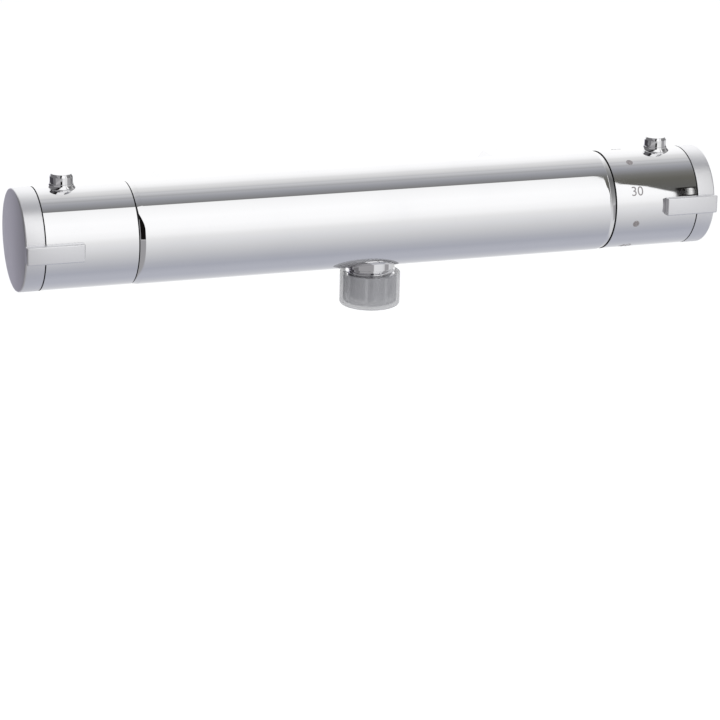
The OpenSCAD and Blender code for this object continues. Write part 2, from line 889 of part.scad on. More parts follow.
// Fixed stop ring: a base on the cartridge's neck, a sleeve, two end lugs and an override tooth
module stop_ring(s, back_angle, forward_angle, override_angle) {
    lug_u = stop_end_u - stop_lug_len;
    tooth_at = override_angle + stop_margin;
    color("tomato") side(s) difference() {
        union() {
            rod(stop_base_u, stop_base_u + stop_base_t, stop_base_r);
            rod(stop_base_u, stop_end_u, stop_sleeve_r);
            along(lug_u) linear_extrude(height = stop_lug_len) intersection() {
                circle(r = stop_lug_r);
                union() {
                    pie(body_d, dial(forward_angle + stop_margin + stop_lug_arc),
                        dial(forward_angle + stop_margin));
                    pie(body_d, dial(-back_angle - stop_margin),
                        dial(-back_angle - stop_margin - stop_lug_arc));
                }
            }
            along(lug_u) linear_extrude(height = stop_lug_len) intersection() {
                circle(r = override_tooth_r);
                pie(body_d, dial(tooth_at + override_arc), dial(tooth_at));
            }
        }
        rod(stop_base_u - cut, neck_end_u + face_gap, neck_r + fit / 2);
        rod(stop_base_u - cut, stop_end_u + cut, stop_sleeve_ri);
    }
}

module flow_stop_ring() {
    stop_ring(-1, 0, flow_open_angle, flow_override_angle);
}

module temp_stop_ring() {
    stop_ring(1, cold_angle, hot_angle, temp_override_angle);
}

// Plastic hub: a splined socket on the spindle and a flange that drives the handle's web
module hub(s) {
    color("dimgray") side(s) difference() {
        union() {
            rod(hub_u, hub_flange_u + cut, hub_r);
            rod(hub_flange_u, hub_flange_u + hub_flange_t, hub_flange_r);
            for (i = [0 : hub_lugs - 1]) rotate([i * 360 / hub_lugs, 0, 0])
                translate([0, 0, hub_lug_orbit])
                    rod(hub_flange_u, hub_flange_u + hub_flange_t + hub_lug_h, hub_lug_r);
        }
        along(hub_u - cut) linear_extrude(height = spline_end_u - hub_u + cut + face_gap)
            spline(spline_r + fit);
        rod(hub_u, hub_flange_u + hub_flange_t + cut, screw_hole_r);
    }
}

module flow_hub() {
    hub(-1);
}

module temp_hub() {
    hub(1);
}

// Polished handle: a thin sleeve with a drilled web and a boss that guides the override button
module handle(s) {
    color("gainsboro") side(s) difference() {
        union() {
            along(handle_u) rotate_extrude($fn = 160) polygon(concat(
                [[handle_ri, 0]],
                arc([handle_r - edge_round, edge_round], edge_round, -90, 0, edge_steps),
                arc([handle_r - edge_round, handle_len - edge_round], edge_round, 0, 90, edge_steps),
                [[handle_ri, handle_len]]
            ));
            rod(web_u, web_outer_u, handle_ri + edge_round);
            intersection() {
                translate([button_u, 0, boss_z]) cylinder(h = handle_r, r = boss_r);
                rod(handle_u, web_outer_u, handle_ri + edge_round);
            }
        }
        rod(web_u - cut, web_outer_u + cut, screw_hole_r);
        for (i = [0 : hub_lugs - 1]) rotate([i * 360 / hub_lugs, 0, 0])
            translate([0, 0, hub_lug_orbit]) rod(web_u - cut, web_outer_u + cut, hub_lug_r + fit);
        translate([button_u, 0, boss_floor_z]) cylinder(h = handle_r, r = button_bore_r);
        translate([button_u, 0, boss_z - cut]) cylinder(h = handle_r, r = catch_hole_r);
    }
}

module flow_handle() {
    handle(-1);
}

module temp_handle() {
    handle(1);
}

// Cap-head screw that holds hub and handle on the spindle
module handle_screw(s) {
    color("silver") side(s) difference() {
        union() {
            rod(screw_tip_u, web_outer_u, screw_r);
            rod(web_outer_u, web_outer_u + screw_head_t, screw_head_r);
        }
        along(web_outer_u + screw_head_t - screw_socket_depth) linear_extrude(height = screw_head_t)
            hexagon(screw_socket_flats);
    }
}

module flow_handle_screw() {
    handle_screw(-1);
}

module temp_handle_screw() {
    handle_screw(1);
}

// Satin end cap: a shallow cup with a spigot, and a lever tab that lies over the handle
module end_cap(s) {
    turn = s > 0 ? -temp_cap_turn : flow_cap_turn;
    spigot_r = handle_ri - fit;
    front = handle_r + tab_proud;
    root = handle_r - tab_root;
    half = tab_w / 2;
    color("lightgray") side(s) rotate([turn, 0, 0]) {
        along(cap_u) rotate_extrude($fn = 160) polygon(concat(
            [[spigot_r - cap_spigot_wall, -cap_spigot_len], [spigot_r, -cap_spigot_len],
             [spigot_r, 0]],
            arc([handle_r - edge_round, edge_round], edge_round, -90, 0, edge_steps),
            arc([handle_r - cap_round, cap_len - cap_round], cap_round, 0, 90, edge_steps),
            [[0, cap_len], [0, cap_len - cap_face_t],
             [spigot_r - cap_spigot_wall, cap_len - cap_face_t]]
        ));
        difference() {
            translate([cap_end_u - tab_len, 0, 0]) rotate([90, 0, 90])
                linear_extrude(height = tab_len) polygon([
                    [-root, -half],
                    [-root, half],
                    [tab_chamfer - front, half],
                    [-front, half - tab_chamfer],
                    [-front, tab_chamfer - half],
                    [tab_chamfer - front, -half]
                ]);
            rod(handle_u, cap_u, handle_r + tab_under_gap);
        }
    }
}

module flow_end_cap() {
    end_cap(-1);
}

module temp_end_cap() {
    end_cap(1);
}

// Override button: a peg with a flange, and a catch pin that reaches down to the stop ring
module button(s) {
    top = handle_r + button_h;
    color("gainsboro") side(s) translate([button_u, 0, 0]) rotate_extrude() polygon(concat(
        [[0, catch_tip_z], [catch_r, catch_tip_z], [catch_r, button_flange_z],
         [button_flange_r, button_flange_z],
         [button_flange_r, button_flange_z + button_flange_t],
         [button_r, button_flange_z + button_flange_t]],
        arc([button_r - button_round, top - button_round], button_round, 0, 90, edge_steps),
        [[0, top]]
    ));
}

module flow_button() {
    button(-1);
}

module temp_button() {
    button(1);
}

// Flared collar pressed into the handle round a button
module button_collar(s) {
    color("silver") side(s) translate([button_u, 0, 0]) rotate_extrude() polygon([
        [collar_ri, collar_foot_z],
        [collar_r, collar_foot_z],
        [collar_r, handle_r - collar_wall],
        [collar_ri + collar_top_wall, handle_r + collar_h],
        [collar_ri, handle_r + collar_h]
    ]);
}

module flow_button_collar() {
    button_collar(-1);
}

module temp_button_collar() {
    button_collar(1);
}

module button_spring(s) {
    color("silver") side(s) translate([button_u, 0, 0]) coil(
        boss_floor_z + face_gap / 2, button_flange_z - face_gap / 2,
        button_spring_r, button_wire_r, button_turns);
}

module flow_button_spring() {
    button_spring(-1);
}

module temp_button_spring() {
    button_spring(1);
}

// Thermostat body: ported barrel with seal grooves, a spring shoulder and a hexagon guide bore
module thermostat_body() {
    color("khaki") side(1) difference() {
        cartridge_blank(thermostat_end_u);
        rod(thermo_floor_u, spring_shoulder_u + cut, mix_opening_r);
        rod(spring_shoulder_u, hex_bore_u, barrel_r);
        along(hex_bore_u - cut) linear_extrude(height = plate_u - hex_bore_u + cut)
            hexagon(hex_bore_flats);
        rod(plate_u - cut, neck_end_u + cut, journal_bore_r);
        for (u = thermo_o_ring_us)
            tube(u - o_ring_groove_half, u + o_ring_groove_half, chamber_r + cut, o_ring_groove_r);
        tube(hot_port_u - port_groove_half, hot_port_u + port_groove_half,
            chamber_r + cut, cartridge_r - port_groove_depth);
        tube(cold_port_u - screen_half, cold_port_u + screen_half,
            chamber_r + cut, cartridge_r - screen_t - 2 * fit);
        for (i = [0 : port_holes - 1], u = [hot_port_u, cold_port_u])
            rotate([(i + 0.5) * 360 / port_holes, 0, 0]) translate([u, 0, barrel_r - cut])
                cylinder(h = chamber_r, r = port_hole_r, $fn = 32);
    }
}

module thermostat_o_rings() {
    color("dimgray") side(1) for (u = thermo_o_ring_us)
        along(0) o_ring(u, o_ring_centre_r, o_ring_r);
}

// Perforated steel sleeve over the cold ports
module thermostat_screen() {
    color("silver") side(1) difference() {
        tube(cold_port_u - screen_half + fit, cold_port_u + screen_half - fit,
            cartridge_r - fit, cartridge_r - fit - screen_t);
        for (row = [0 : screen_rows - 1], i = [0 : screen_holes - 1])
            rotate([(i + row / 2) * 360 / screen_holes, 0, 0])
                translate([cold_port_u + (row - (screen_rows - 1) / 2) * screen_half / 2, 0, 0])
                    translate([0, 0, cartridge_r - screen_t - cut])
                        cylinder(h = screen_t + 2 * cut, r = screen_hole_r, $fn = 16);
    }
}

// Sliding sleeve that closes hot ports with one edge and cold ports with the other
module regulating_slide() {
    color("tan") side(1) difference() {
        union() {
            tube(slide_u, slide_end_u, slide_r, slide_ri);
            rod(slide_web_u, slide_web_u + slide_web_t, slide_ri + edge_round);
        }
        rod(slide_u, slide_end_u, element_neck_r + fit);
        for (i = [0 : slide_holes - 1]) rotate([i * 360 / slide_holes, 0, 0])
            translate([0, 0, slide_hole_orbit])
                rod(slide_web_u - cut, slide_web_u + slide_web_t + cut, slide_hole_r, $fn = 24);
    }
}

// Wax capsule with its flange, neck and piston rod
module wax_element() {
    flange_u = slide_web_u - element_flange_t;
    neck_end = slide_web_u + element_neck_len;
    color("peru") side(1) along(0) rotate_extrude() polygon([
        [0, bulb_u],
        [bulb_tip_r, bulb_u],
        [bulb_r, bulb_u + bulb_tip_len],
        [bulb_r, flange_u],
        [element_flange_r, flange_u],
        [element_flange_r, slide_web_u],
        [element_neck_r, slide_web_u],
        [element_neck_r, neck_end],
        [piston_r, neck_end],
        [piston_r, lift_u - face_gap / 2],
        [0, lift_u - face_gap / 2]
    ]);
}

module return_spring() {
    color("silver") side(1) along(0) coil(
        spring_shoulder_u + face_gap, slide_web_u - face_gap,
        return_spring_r, return_wire_r, return_turns);
}

// Cup-shaped hexagon nut that the spindle's screw draws in and out
module lift_nut() {
    color("goldenrod") side(1) difference() {
        union() {
            rod(lift_u, lift_end_u, lift_cup_r);
            along(lift_u + lift_cup_t) linear_extrude(height = lift_len - lift_cup_t)
                hexagon(lift_flats);
        }
        rod(lift_u + lift_cup_t, lift_end_u + cut, lift_thread_r + fit);
    }
}

module temp_spindle() {
    color("silver") side(1) {
        spindle_outer(spindle_collar_u + collar_t - cut);
        rod(spindle_collar_u, spindle_collar_u + collar_t, spindle_collar_r);
        rod(lift_end_u - lift_thread_engage, spindle_collar_u + cut, lift_thread_r);
    }
}

body_shell();
waterway_core();
inlet_tail_hot();
inlet_tail_cold();
inlet_o_rings();
check_valve_housings();
check_poppet_hot();
check_poppet_cold();
check_spring_hot();
check_spring_cold();
filter_washers();
union_nut_hot();
union_nut_cold();
outlet_stub();
outlet_o_ring();
thread_protector();
flow_glide_ring();
flow_cartridge_body();
flow_port_seal();
flow_fixed_disc();
flow_moving_disc();
flow_spindle();
flow_retaining_nut();
flow_stop_ring();
flow_hub();
flow_handle();
flow_handle_screw();
flow_end_cap();
flow_button();
flow_button_collar();
flow_button_spring();
temp_glide_ring();
thermostat_body();
thermostat_o_rings();
thermostat_screen();
regulating_slide();
wax_element();
return_spring();
lift_nut();
temp_spindle();
temp_retaining_nut();
temp_stop_ring();
temp_hub();
temp_handle();
temp_handle_screw();
temp_end_cap();
temp_button();
temp_button_collar();
temp_button_spring();
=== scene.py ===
"""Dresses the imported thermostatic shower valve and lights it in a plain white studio."""
import logging
import math
from dataclasses import dataclass
from enum import Enum
from typing import Optional, Sequence, Union

import bmesh
import bpy
from mathutils import Matrix, Vector


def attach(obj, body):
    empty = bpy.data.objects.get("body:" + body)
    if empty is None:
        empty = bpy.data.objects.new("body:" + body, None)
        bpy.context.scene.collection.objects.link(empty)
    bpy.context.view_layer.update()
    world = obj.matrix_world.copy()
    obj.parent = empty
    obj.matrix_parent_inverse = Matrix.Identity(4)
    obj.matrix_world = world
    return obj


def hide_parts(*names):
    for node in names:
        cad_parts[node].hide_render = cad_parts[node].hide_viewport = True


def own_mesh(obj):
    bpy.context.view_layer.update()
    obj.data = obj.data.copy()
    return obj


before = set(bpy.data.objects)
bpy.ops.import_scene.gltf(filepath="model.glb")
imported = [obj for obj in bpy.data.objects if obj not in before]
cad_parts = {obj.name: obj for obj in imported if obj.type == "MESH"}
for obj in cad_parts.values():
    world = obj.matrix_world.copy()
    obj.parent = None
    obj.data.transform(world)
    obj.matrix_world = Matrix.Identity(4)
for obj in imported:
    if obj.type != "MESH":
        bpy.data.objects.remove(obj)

logging.basicConfig(level=logging.INFO, format="%(message)s")
log = logging.getLogger("valve")

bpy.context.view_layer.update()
MM = 0.001
# Facets round the bar and its handles, and round everything smaller
SPIN_STEPS = 160
FINE_STEPS = 96
# Points closer than this many metres are one
MERGE = 0.0001 * MM
# How far a cutter reaches past what it cuts, in millimetres
OVERRUN = 1.0
X_AXIS = Vector((1, 0, 0))
Z_AXIS = Vector((0, 0, 1))


class Body(str, Enum):
    """Names of the bodies that pieces ride on."""

    VALVE = "valve_body"
    FLOW = "flow_knob"
    FLOW_BUTTON = "flow_override"
    TEMP = "temp_knob"
    TEMP_BUTTON = "temp_override"
    HOT_NUT = "hot_nut"
    COLD_NUT = "cold_nut"
    PROTECTOR = "outlet_protector"


class Slot(str, Enum):
    """Names of the record's material slots."""

    CHROME = "chrome"
    SATIN = "satin_chrome"
    BRASS = "brass"
    RUBBER = "rubber"
    WHITE_PLASTIC = "white_plastic"
    STEEL = "steel"
    CLEAR_PLASTIC = "clear_plastic"
    BLACK_PLASTIC = "black_plastic"
    CARTRIDGE = "cartridge_plastic"
    CERAMIC = "ceramic"
    COPPER = "copper"


class Cut(str, Enum):
    """What a boolean does with the other shape."""

    AWAY = "DIFFERENCE"
    ADD = "UNION"
    TRIM = "INTERSECT"


class Side(Enum):
    """The two ends of the bar: the sign of X, and the prefix of the nodes there."""

    FLOW = (-1, "flow")
    TEMP = (1, "temp")

    @property
    def sign(self) -> int:
        """Sign of X at this end."""
        return self.value[0]

    @property
    def prefix(self) -> str:
        """Prefix of the names of the nodes at this end."""
        return self.value[1]


# Shader expressions

Value = Union["Wire", float, int]


class Wire:
    """A shader socket on which sums are written as Python expressions."""

    def __init__(self, graph: "Graph", socket: bpy.types.NodeSocket) -> None:
        """Wraps a socket.

        Args:
            graph: the graph that adds nodes.
            socket: the output socket that this wire starts from.
        """
        self.graph = graph
        self.socket = socket

    def _maths(self, operation: str, *values: Value) -> "Wire":
        """Adds a Math node and returns its output."""
        return self.graph.node("ShaderNodeMath", {"operation": operation}, dict(enumerate(values)))

    def __add__(self, other: Value) -> "Wire":
        """Sum."""
        return self._maths("ADD", self, other)

    def __sub__(self, other: Value) -> "Wire":
        """Difference."""
        return self._maths("SUBTRACT", self, other)

    def __rsub__(self, other: Value) -> "Wire":
        """Difference with the wire on the right."""
        return self._maths("SUBTRACT", other, self)

    def __mul__(self, other: Value) -> "Wire":
        """Product."""
        return self._maths("MULTIPLY", self, other)

    def __truediv__(self, other: Value) -> "Wire":
        """Quotient."""
        return self._maths("DIVIDE", self, other)

    def __neg__(self) -> "Wire":
        """Opposite."""
        return self._maths("MULTIPLY", self, -1.0)

    def atan2(self, other: Value) -> "Wire":
        """Angle whose tangent is this wire over the other."""
        return self._maths("ARCTAN2", self, other)

    def smooth(self, low: Value, high: Value) -> "Wire":
        """Smooth step from 0 at low to 1 at high."""
        return self.graph.node(
            "ShaderNodeMapRange",
            {"interpolation_type": "SMOOTHSTEP", "clamp": True},
            {"Value": self, "From Min": low, "From Max": high, "To Min": 0.0, "To Max": 1.0},
        )

    def between(self, low: float, high: float, soft: float) -> "Wire":
        """1 between two values and 0 outside, with soft edges."""
        return self.smooth(low - soft, low + soft) * self.smooth(high + soft, high - soft)


Paint = Union[Wire, Sequence[float]]


class Graph:
    """Adds nodes to a material's or the world's node tree."""

    # Strength of each octave of a noise next to the one before
    OCTAVE_SHARE = 0.55

    def __init__(self, tree: bpy.types.NodeTree) -> None:
        """Starts from an empty tree.

        Args:
            tree: the node tree that is filled.
        """
        self.tree = tree
        tree.nodes.clear()

    def node(self, kind: str, settings: Optional[dict] = None, inputs: Optional[dict] = None,
             output: Union[int, str] = 0) -> Wire:
        """Adds any node.

        Args:
            kind: the node's Blender type.
            settings: properties that are set first; a ramp's stops are under "stops".
            inputs: values or wires by socket name or number.
            output: the socket that the returned wire starts from.

        Returns:
            The wire from the chosen output.
        """
        made = self.tree.nodes.new(kind)
        for name, value in (settings or {}).items():
            if name == "stops":
                self._stops(made, value)
            else:
                setattr(made, name, value)
        for key, value in (inputs or {}).items():
            if isinstance(value, Wire):
                self.tree.links.new(value.socket, made.inputs[key])
            else:
                made.inputs[key].default_value = value
        return Wire(self, made.outputs[output])

    @staticmethod
    def _stops(ramp: bpy.types.Node, stops: Sequence[tuple]) -> None:
        """Sets a ramp's stops.

        Args:
            ramp: the ramp's node.
            stops: a place from 0 to 1 and a colour for each stop.
        """
        elements = ramp.color_ramp.elements
        while len(elements) > 1:
            elements.remove(elements[-1])
        elements[0].position, elements[0].color = stops[0]
        for place, colour in stops[1:]:
            elements.new(place).color = colour

    def mix(self, share: Value, first: Paint, second: Paint) -> Wire:
        """Mixes two colours.

        Args:
            share: how much of the second colour is taken.
            first: a colour or a wire.
            second: a colour or a wire.

        Returns:
            The mixed colour.
        """
        return self.node("ShaderNodeMix", {"data_type": "RGBA"},
                         {0: share, 6: first, 7: second}, 2)

    def position(self) -> Wire:
        """Object coordinates."""
        return self.node("ShaderNodeTexCoord", output="Object")

    def noise(self, scale: float, detail: float = 3.0,
              stretch: Sequence[float] = (1, 1, 1)) -> Wire:
        """Noise on Object coordinates, from 0 to 1.

        Args:
            scale: waves per metre.
            detail: octaves.
            stretch: scale of each axis, for grain that runs along one of them.

        Returns:
            The noise's height.
        """
        place = self.node("ShaderNodeMapping", None, {"Vector": self.position(), "Scale": stretch})
        return self.node("ShaderNodeTexNoise", None,
                         {"Vector": place, "Scale": scale, "Detail": detail,
                          "Roughness": self.OCTAVE_SHARE})

    def bump(self, height: Wire, strength: float, distance: float) -> Wire:
        """Bump from a height.

        Args:
            height: the height, from 0 to 1.
            strength: share of the bump that is used.
            distance: depth in millimetres.

        Returns:
            The bent normal.
        """
        return self.node("ShaderNodeBump", None,
                         {"Strength": strength, "Distance": distance * MM, "Height": height})

    def principled(self, inputs: dict) -> Wire:
        """Adds a Principled shader with these inputs."""
        return self.node("ShaderNodeBsdfPrincipled", None, inputs)

    def surface(self, shader: Wire) -> None:
        """Ends the tree at a surface output."""
        self.node_output("ShaderNodeOutputMaterial", shader)

    def node_output(self, kind: str, shader: Wire) -> None:
        """Adds an output node and links the shader to it."""
        made = self.tree.nodes.new(kind)
        self.tree.links.new(shader.socket, made.inputs["Surface"])


Colour = tuple[float, float, float]
Span = tuple[float, float]


def rgba(colour: Colour) -> tuple[float, float, float, float]:
    """Adds full opacity to a colour."""
    return (*colour, 1.0)


def new_material(name: str) -> tuple[bpy.types.Material, Graph]:
    """Makes an empty node material.

    Args:
        name: the material's name.

    Returns:
        The material and its graph.
    """
    material = bpy.data.materials.new(name)
    material.use_nodes = True
    return material, Graph(material.node_tree)


# Finishes

@dataclass(frozen=True)
class PolishedChrome:
    """Mirror chrome with the faint haze and water marks that a plated tube has."""

    name: str = "polished_chrome"
    colour: Colour = (0.86, 0.86, 0.87)
    haze: Colour = (0.80, 0.80, 0.82)
    roughness: float = 0.015
    haze_roughness: float = 0.032
    cloud_scale: float = 28.0
    cloud_span: Span = (0.45, 0.75)
    cloud_share: float = 0.35
    mark_scale: float = 420.0
    mark_span: Span = (0.62, 0.74)
    mark_share: float = 0.12
    ripple_scale: float = 160.0
    ripple_strength: float = 0.04
    ripple_depth: float = 0.02

    def make(self) -> bpy.types.Material:
        """Builds the material."""
        material, g = new_material(self.name)
        cloud = g.noise(self.cloud_scale, detail=4.0).smooth(*self.cloud_span)
        marks = g.noise(self.mark_scale, detail=2.0).smooth(*self.mark_span)
        haze = cloud * self.cloud_share + marks * self.mark_share
        ripple = g.noise(self.ripple_scale, detail=1.0)
        g.surface(g.principled({
            "Base Color": g.mix(haze, rgba(self.colour), rgba(self.haze)),
            "Metallic": 1.0,
            "Roughness": haze * (self.haze_roughness - self.roughness) + self.roughness,
            "Normal": g.bump(ripple, self.ripple_strength, self.ripple_depth),
        }))
        return material


@dataclass(frozen=True)
class SatinChrome:
    """Blasted and plated metal with a fine even grain."""

    name: str = "satin_chrome"
    colour: Colour = (0.89, 0.89, 0.905)
    shade: Colour = (0.86, 0.86, 0.88)
    roughness: float = 0.33
    grain_scale: float = 5200.0
    grain_strength: float = 0.05
    grain_depth: float = 0.01
    cloud_scale: float = 60.0
    cloud_roughness: float = 0.06

    def make(self) -> bpy.types.Material:
        """Builds the material."""
        material, g = new_material(self.name)
        grain = g.noise(self.grain_scale, detail=2.0)
        cloud = g.noise(self.cloud_scale)
        g.surface(g.principled({
            "Base Color": g.mix(cloud, rgba(self.colour), rgba(self.shade)),
            "Metallic": 1.0,
            "Roughness": cloud * self.cloud_roughness + self.roughness,
            "Normal": g.bump(grain, self.grain_strength, self.grain_depth),
        }))
        return material


@dataclass(frozen=True)
class TurnedMetal:
    """Machined metal with fine tool marks and a little tarnish."""

    name: str
    colour: Colour
    tarnish: Colour
    roughness: float = 0.28
    line_scale: float = 2600.0
    line_stretch: Sequence[float] = (1.0, 0.06, 0.06)
    line_strength: float = 0.15
    line_depth: float = 0.02
    stain_scale: float = 90.0
    stain_span: Span = (0.4, 0.8)
    stain_share: float = 0.7
    stain_roughness: float = 0.15

    def make(self) -> bpy.types.Material:
        """Builds the material."""
        material, g = new_material(self.name)
        lines = g.noise(self.line_scale, 2.0, self.line_stretch)
        stain = g.noise(self.stain_scale, detail=4.0).smooth(*self.stain_span)
        g.surface(g.principled({
            "Base Color": g.mix(stain * self.stain_share, rgba(self.colour), rgba(self.tarnish)),
            "Metallic": 1.0,
            "Roughness": stain * self.stain_roughness + self.roughness,
            "Normal": g.bump(lines, self.line_strength, self.line_depth),
        }))
        return material


@dataclass(frozen=True)
class Moulded:
    """Moulded plastic or rubber with a fine orange-peel skin."""

    name: str
    colour: Colour
    worn: Colour
    roughness: float
    coat: float = 0.0
    skin_scale: float = 2400.0
    skin_strength: float = 0.3
    skin_depth: float = 0.03
    wear_scale: float = 130.0
    wear_span: Span = (0.5, 0.8)
    wear_share: float = 0.5
    wear_roughness: float = 0.12

    def make(self) -> bpy.types.Material:
        """Builds the material."""
        material, g = new_material(self.name)
        skin = g.noise(self.skin_scale)
        wear = g.noise(self.wear_scale, detail=4.0).smooth(*self.wear_span)
        g.surface(g.principled({
            "Base Color": g.mix(wear * self.wear_share, rgba(self.colour), rgba(self.worn)),
            "Roughness": wear * self.wear_roughness + self.roughness,
            "Coat Weight": self.coat,
            "Normal": g.bump(skin, self.skin_strength, self.skin_depth),
        }))
        return material


@dataclass(frozen=True)
class Translucent:
    """Thin milky plastic that the thread shows through."""

    name: str = "translucent_plastic"
    colour: Colour = (0.45, 0.45, 0.47)
    cloudy: Colour = (0.51, 0.51, 0.53)
    roughness: float = 0.28
    cover: float = 0.42
    cloud_scale: float = 180.0
    cloud_change: float = 0.1
    flow_scale: float = 900.0
    flow_stretch: Sequence[float] = (1.0, 1.0, 0.12)
    flow_strength: float = 0.2
    flow_depth: float = 0.04

    def make(self) -> bpy.types.Material:
        """Builds the material."""
        material, g = new_material(self.name)
        cloud = g.noise(self.cloud_scale)
        flow = g.noise(self.flow_scale, 2.0, self.flow_stretch)
        g.surface(g.principled({
            "Base Color": g.mix(cloud, rgba(self.colour), rgba(self.cloudy)),
            "Roughness": cloud * self.cloud_change + self.roughness,
            "Alpha": cloud * self.cloud_change + self.cover,
            "Normal": g.bump(flow, self.flow_strength, self.flow_depth),
        }))
        return material


@dataclass(frozen=True)
class DialInk:
    """Baked-on ink of the dial, slightly uneven in cover."""

    name: str = "dial_ink"
    colour: Colour = (0.27, 0.25, 0.255)
    thin: Colour = (0.40, 0.37, 0.37)
    roughness: float = 0.5
    cover_scale: float = 2200.0
    cover_span: Span = (0.4, 0.75)
    cover_roughness: float = 0.2
    grain_scale: float = 5000.0
    grain_strength: float = 0.3
    grain_depth: float = 0.01

    def make(self) -> bpy.types.Material:
        """Builds the material."""
        material, g = new_material(self.name)
        cover = g.noise(self.cover_scale).smooth(*self.cover_span)
        grain = g.noise(self.grain_scale, detail=2.0)
        g.surface(g.principled({
            "Base Color": g.mix(cover, rgba(self.colour), rgba(self.thin)),
            "Roughness": cover * self.cover_roughness + self.roughness,
            "Normal": g.bump(grain, self.grain_strength, self.grain_depth),
        }))
        return material


class Palette:
    """All the finishes, made once and shared."""

    FINISHES = {
        Slot.CHROME: PolishedChrome(),
        Slot.SATIN: SatinChrome(),
        Slot.BRASS: TurnedMetal("machined_brass", (0.70, 0.50, 0.22), (0.50, 0.34, 0.14)),
        Slot.RUBBER: Moulded("black_rubber", (0.018, 0.018, 0.02), (0.05, 0.05, 0.05), 0.62),
        Slot.WHITE_PLASTIC: Moulded("white_acetal", (0.78, 0.79, 0.78), (0.7, 0.7, 0.68), 0.32,
                                    coat=0.2),
        Slot.STEEL: TurnedMetal("stainless_steel", (0.62, 0.62, 0.63), (0.5, 0.5, 0.5)),
        Slot.CLEAR_PLASTIC: Translucent(),
        Slot.BLACK_PLASTIC: Moulded("black_nylon", (0.012, 0.012, 0.013), (0.04, 0.04, 0.042),
                                    0.45),
        Slot.CARTRIDGE: Moulded("grey_cartridge", (0.09, 0.09, 0.10), (0.14, 0.14, 0.15), 0.4),
        Slot.CERAMIC: Moulded("white_ceramic", (0.82, 0.80, 0.76), (0.74, 0.72, 0.68), 0.12, 0.4),
        Slot.COPPER: TurnedMetal("copper_capsule", (0.72, 0.36, 0.22), (0.45, 0.22, 0.13)),
    }
    THICK = Translucent("thick_plastic", (0.80, 0.80, 0.82), (0.88, 0.88, 0.89), 0.3, 0.72)
    # Near black for the end faces inside the seams: painted shade of the narrow gaps, on faces that
    # are really the same plated metal
    GAP_SHADE = Moulded("painted_gap_shade", (0.008, 0.008, 0.009), (0.02, 0.02, 0.02), 0.75)

    def __init__(self) -> None:
        """Builds every material."""
        self.materials: dict[Slot, bpy.types.Material] = {
            slot: finish.make() for slot, finish in self.FINISHES.items()}
        self.rib = self.THICK.make()
        self.gap = self.GAP_SHADE.make()

    def dress(self, piece: bpy.types.Object, slot: Slot) -> None:
        """Gives a piece one finish all over.

        Args:
            piece: the piece.
            slot: the finish's slot.
        """
        piece.data.materials.clear()
        piece.data.materials.append(self.materials[slot])


# Mesh helpers

Profile = Sequence[tuple[float, float]]


def make_piece(name: str, bm: bmesh.types.BMesh) -> bpy.types.Object:
    """Turns a bmesh into an object at the origin.

    Args:
        name: the piece's name.
        bm: the finished shape, which is freed.

    Returns:
        The new object.
    """
    mesh = bpy.data.meshes.new(name)
    bm.to_mesh(mesh)
    bm.free()
    piece = bpy.data.objects.new(name, mesh)
    bpy.context.scene.collection.objects.link(piece)
    return piece


def close_up(bm: bmesh.types.BMesh) -> None:
    """Merges doubles, fills open ends and turns the faces outwards.

    Args:
        bm: the shape.
    """
    bmesh.ops.remove_doubles(bm, verts=bm.verts, dist=MERGE)
    bmesh.ops.holes_fill(bm, edges=[e for e in bm.edges if e.is_boundary], sides=0)
    bmesh.ops.recalc_face_normals(bm, faces=bm.faces)


def swing(bm: bmesh.types.BMesh, angle: float, axis: str,
          points: Optional[Sequence[bmesh.types.BMVert]] = None) -> None:
    """Turns a shape about an axis through the origin.

    Args:
        bm: the shape.
        angle: how far, in radians.
        axis: X, Y or Z.
        points: the points that turn, where not all of them do.
    """
    bmesh.ops.rotate(bm, verts=points or bm.verts, cent=(0, 0, 0),
                     matrix=Matrix.Rotation(angle, 3, axis))


def shares(count: int) -> list[float]:
    """Even shares from 0 to 1."""
    return [i / count for i in range(count + 1)]


def smooth_by_angle(piece: bpy.types.Object, degrees: float = 28.0) -> None:
    """Shades a piece smooth except across its sharp edges.

    Args:
        piece: the piece.
        degrees: the angle past which an edge is sharp.
    """
    for face in piece.data.polygons:
        face.use_smooth = True
    piece.data.set_sharp_from_angle(angle=math.radians(degrees))


def bevel(bm: bmesh.types.BMesh, edges: Sequence[bmesh.types.BMEdge], radius: float,
          segments: int) -> None:
    """Bevels some edges.

    Args:
        bm: the shape.
        edges: its edges that are bevelled.
        radius: the bevel's width in millimetres.
        segments: steps across the bevel.
    """
    bmesh.ops.bevel(bm, geom=edges, offset=radius * MM, segments=segments, profile=0.5,
                    affect="EDGES", material=-1, clamp_overlap=True)


def round_edges(bm: bmesh.types.BMesh, radius: float, degrees: float, segments: int = 3) -> None:
    """Bevels the edges that are sharper than an angle.

    Args:
        bm: the shape.
        radius: the bevel's width in millimetres.
        degrees: the least angle between two faces that counts as an edge.
        segments: steps across the bevel.
    """
    limit = math.radians(degrees)
    sharp = [e for e in bm.edges if len(e.link_faces) == 2 and e.calc_face_angle() > limit]
    bevel(bm, sharp, radius, segments)


def turned(profile: Profile, closed: bool, steps: int = SPIN_STEPS) -> bmesh.types.BMesh:
    """Spins an outline about Z.

    Args:
        profile: radius and height of each corner, in millimetres.
        closed: whether the outline closes on itself; an open one starts and ends on the axis.
        steps: facets round the axis.

    Returns:
        The spun shape, in metres, with its faces outwards.
    """
    bm = bmesh.new()
    corners = [bm.verts.new((r * MM, 0, z * MM)) for r, z in profile]
    pairs = list(zip(corners, corners[1:])) + ([(corners[-1], corners[0])] if closed else [])
    edges = [bm.edges.new(pair) for pair in pairs]
    bmesh.ops.spin(bm, geom=corners + edges, cent=(0, 0, 0), axis=(0, 0, 1), dvec=(0, 0, 0),
                   angle=math.tau, steps=steps, use_merge=True, use_duplicate=False)
    close_up(bm)
    return bm


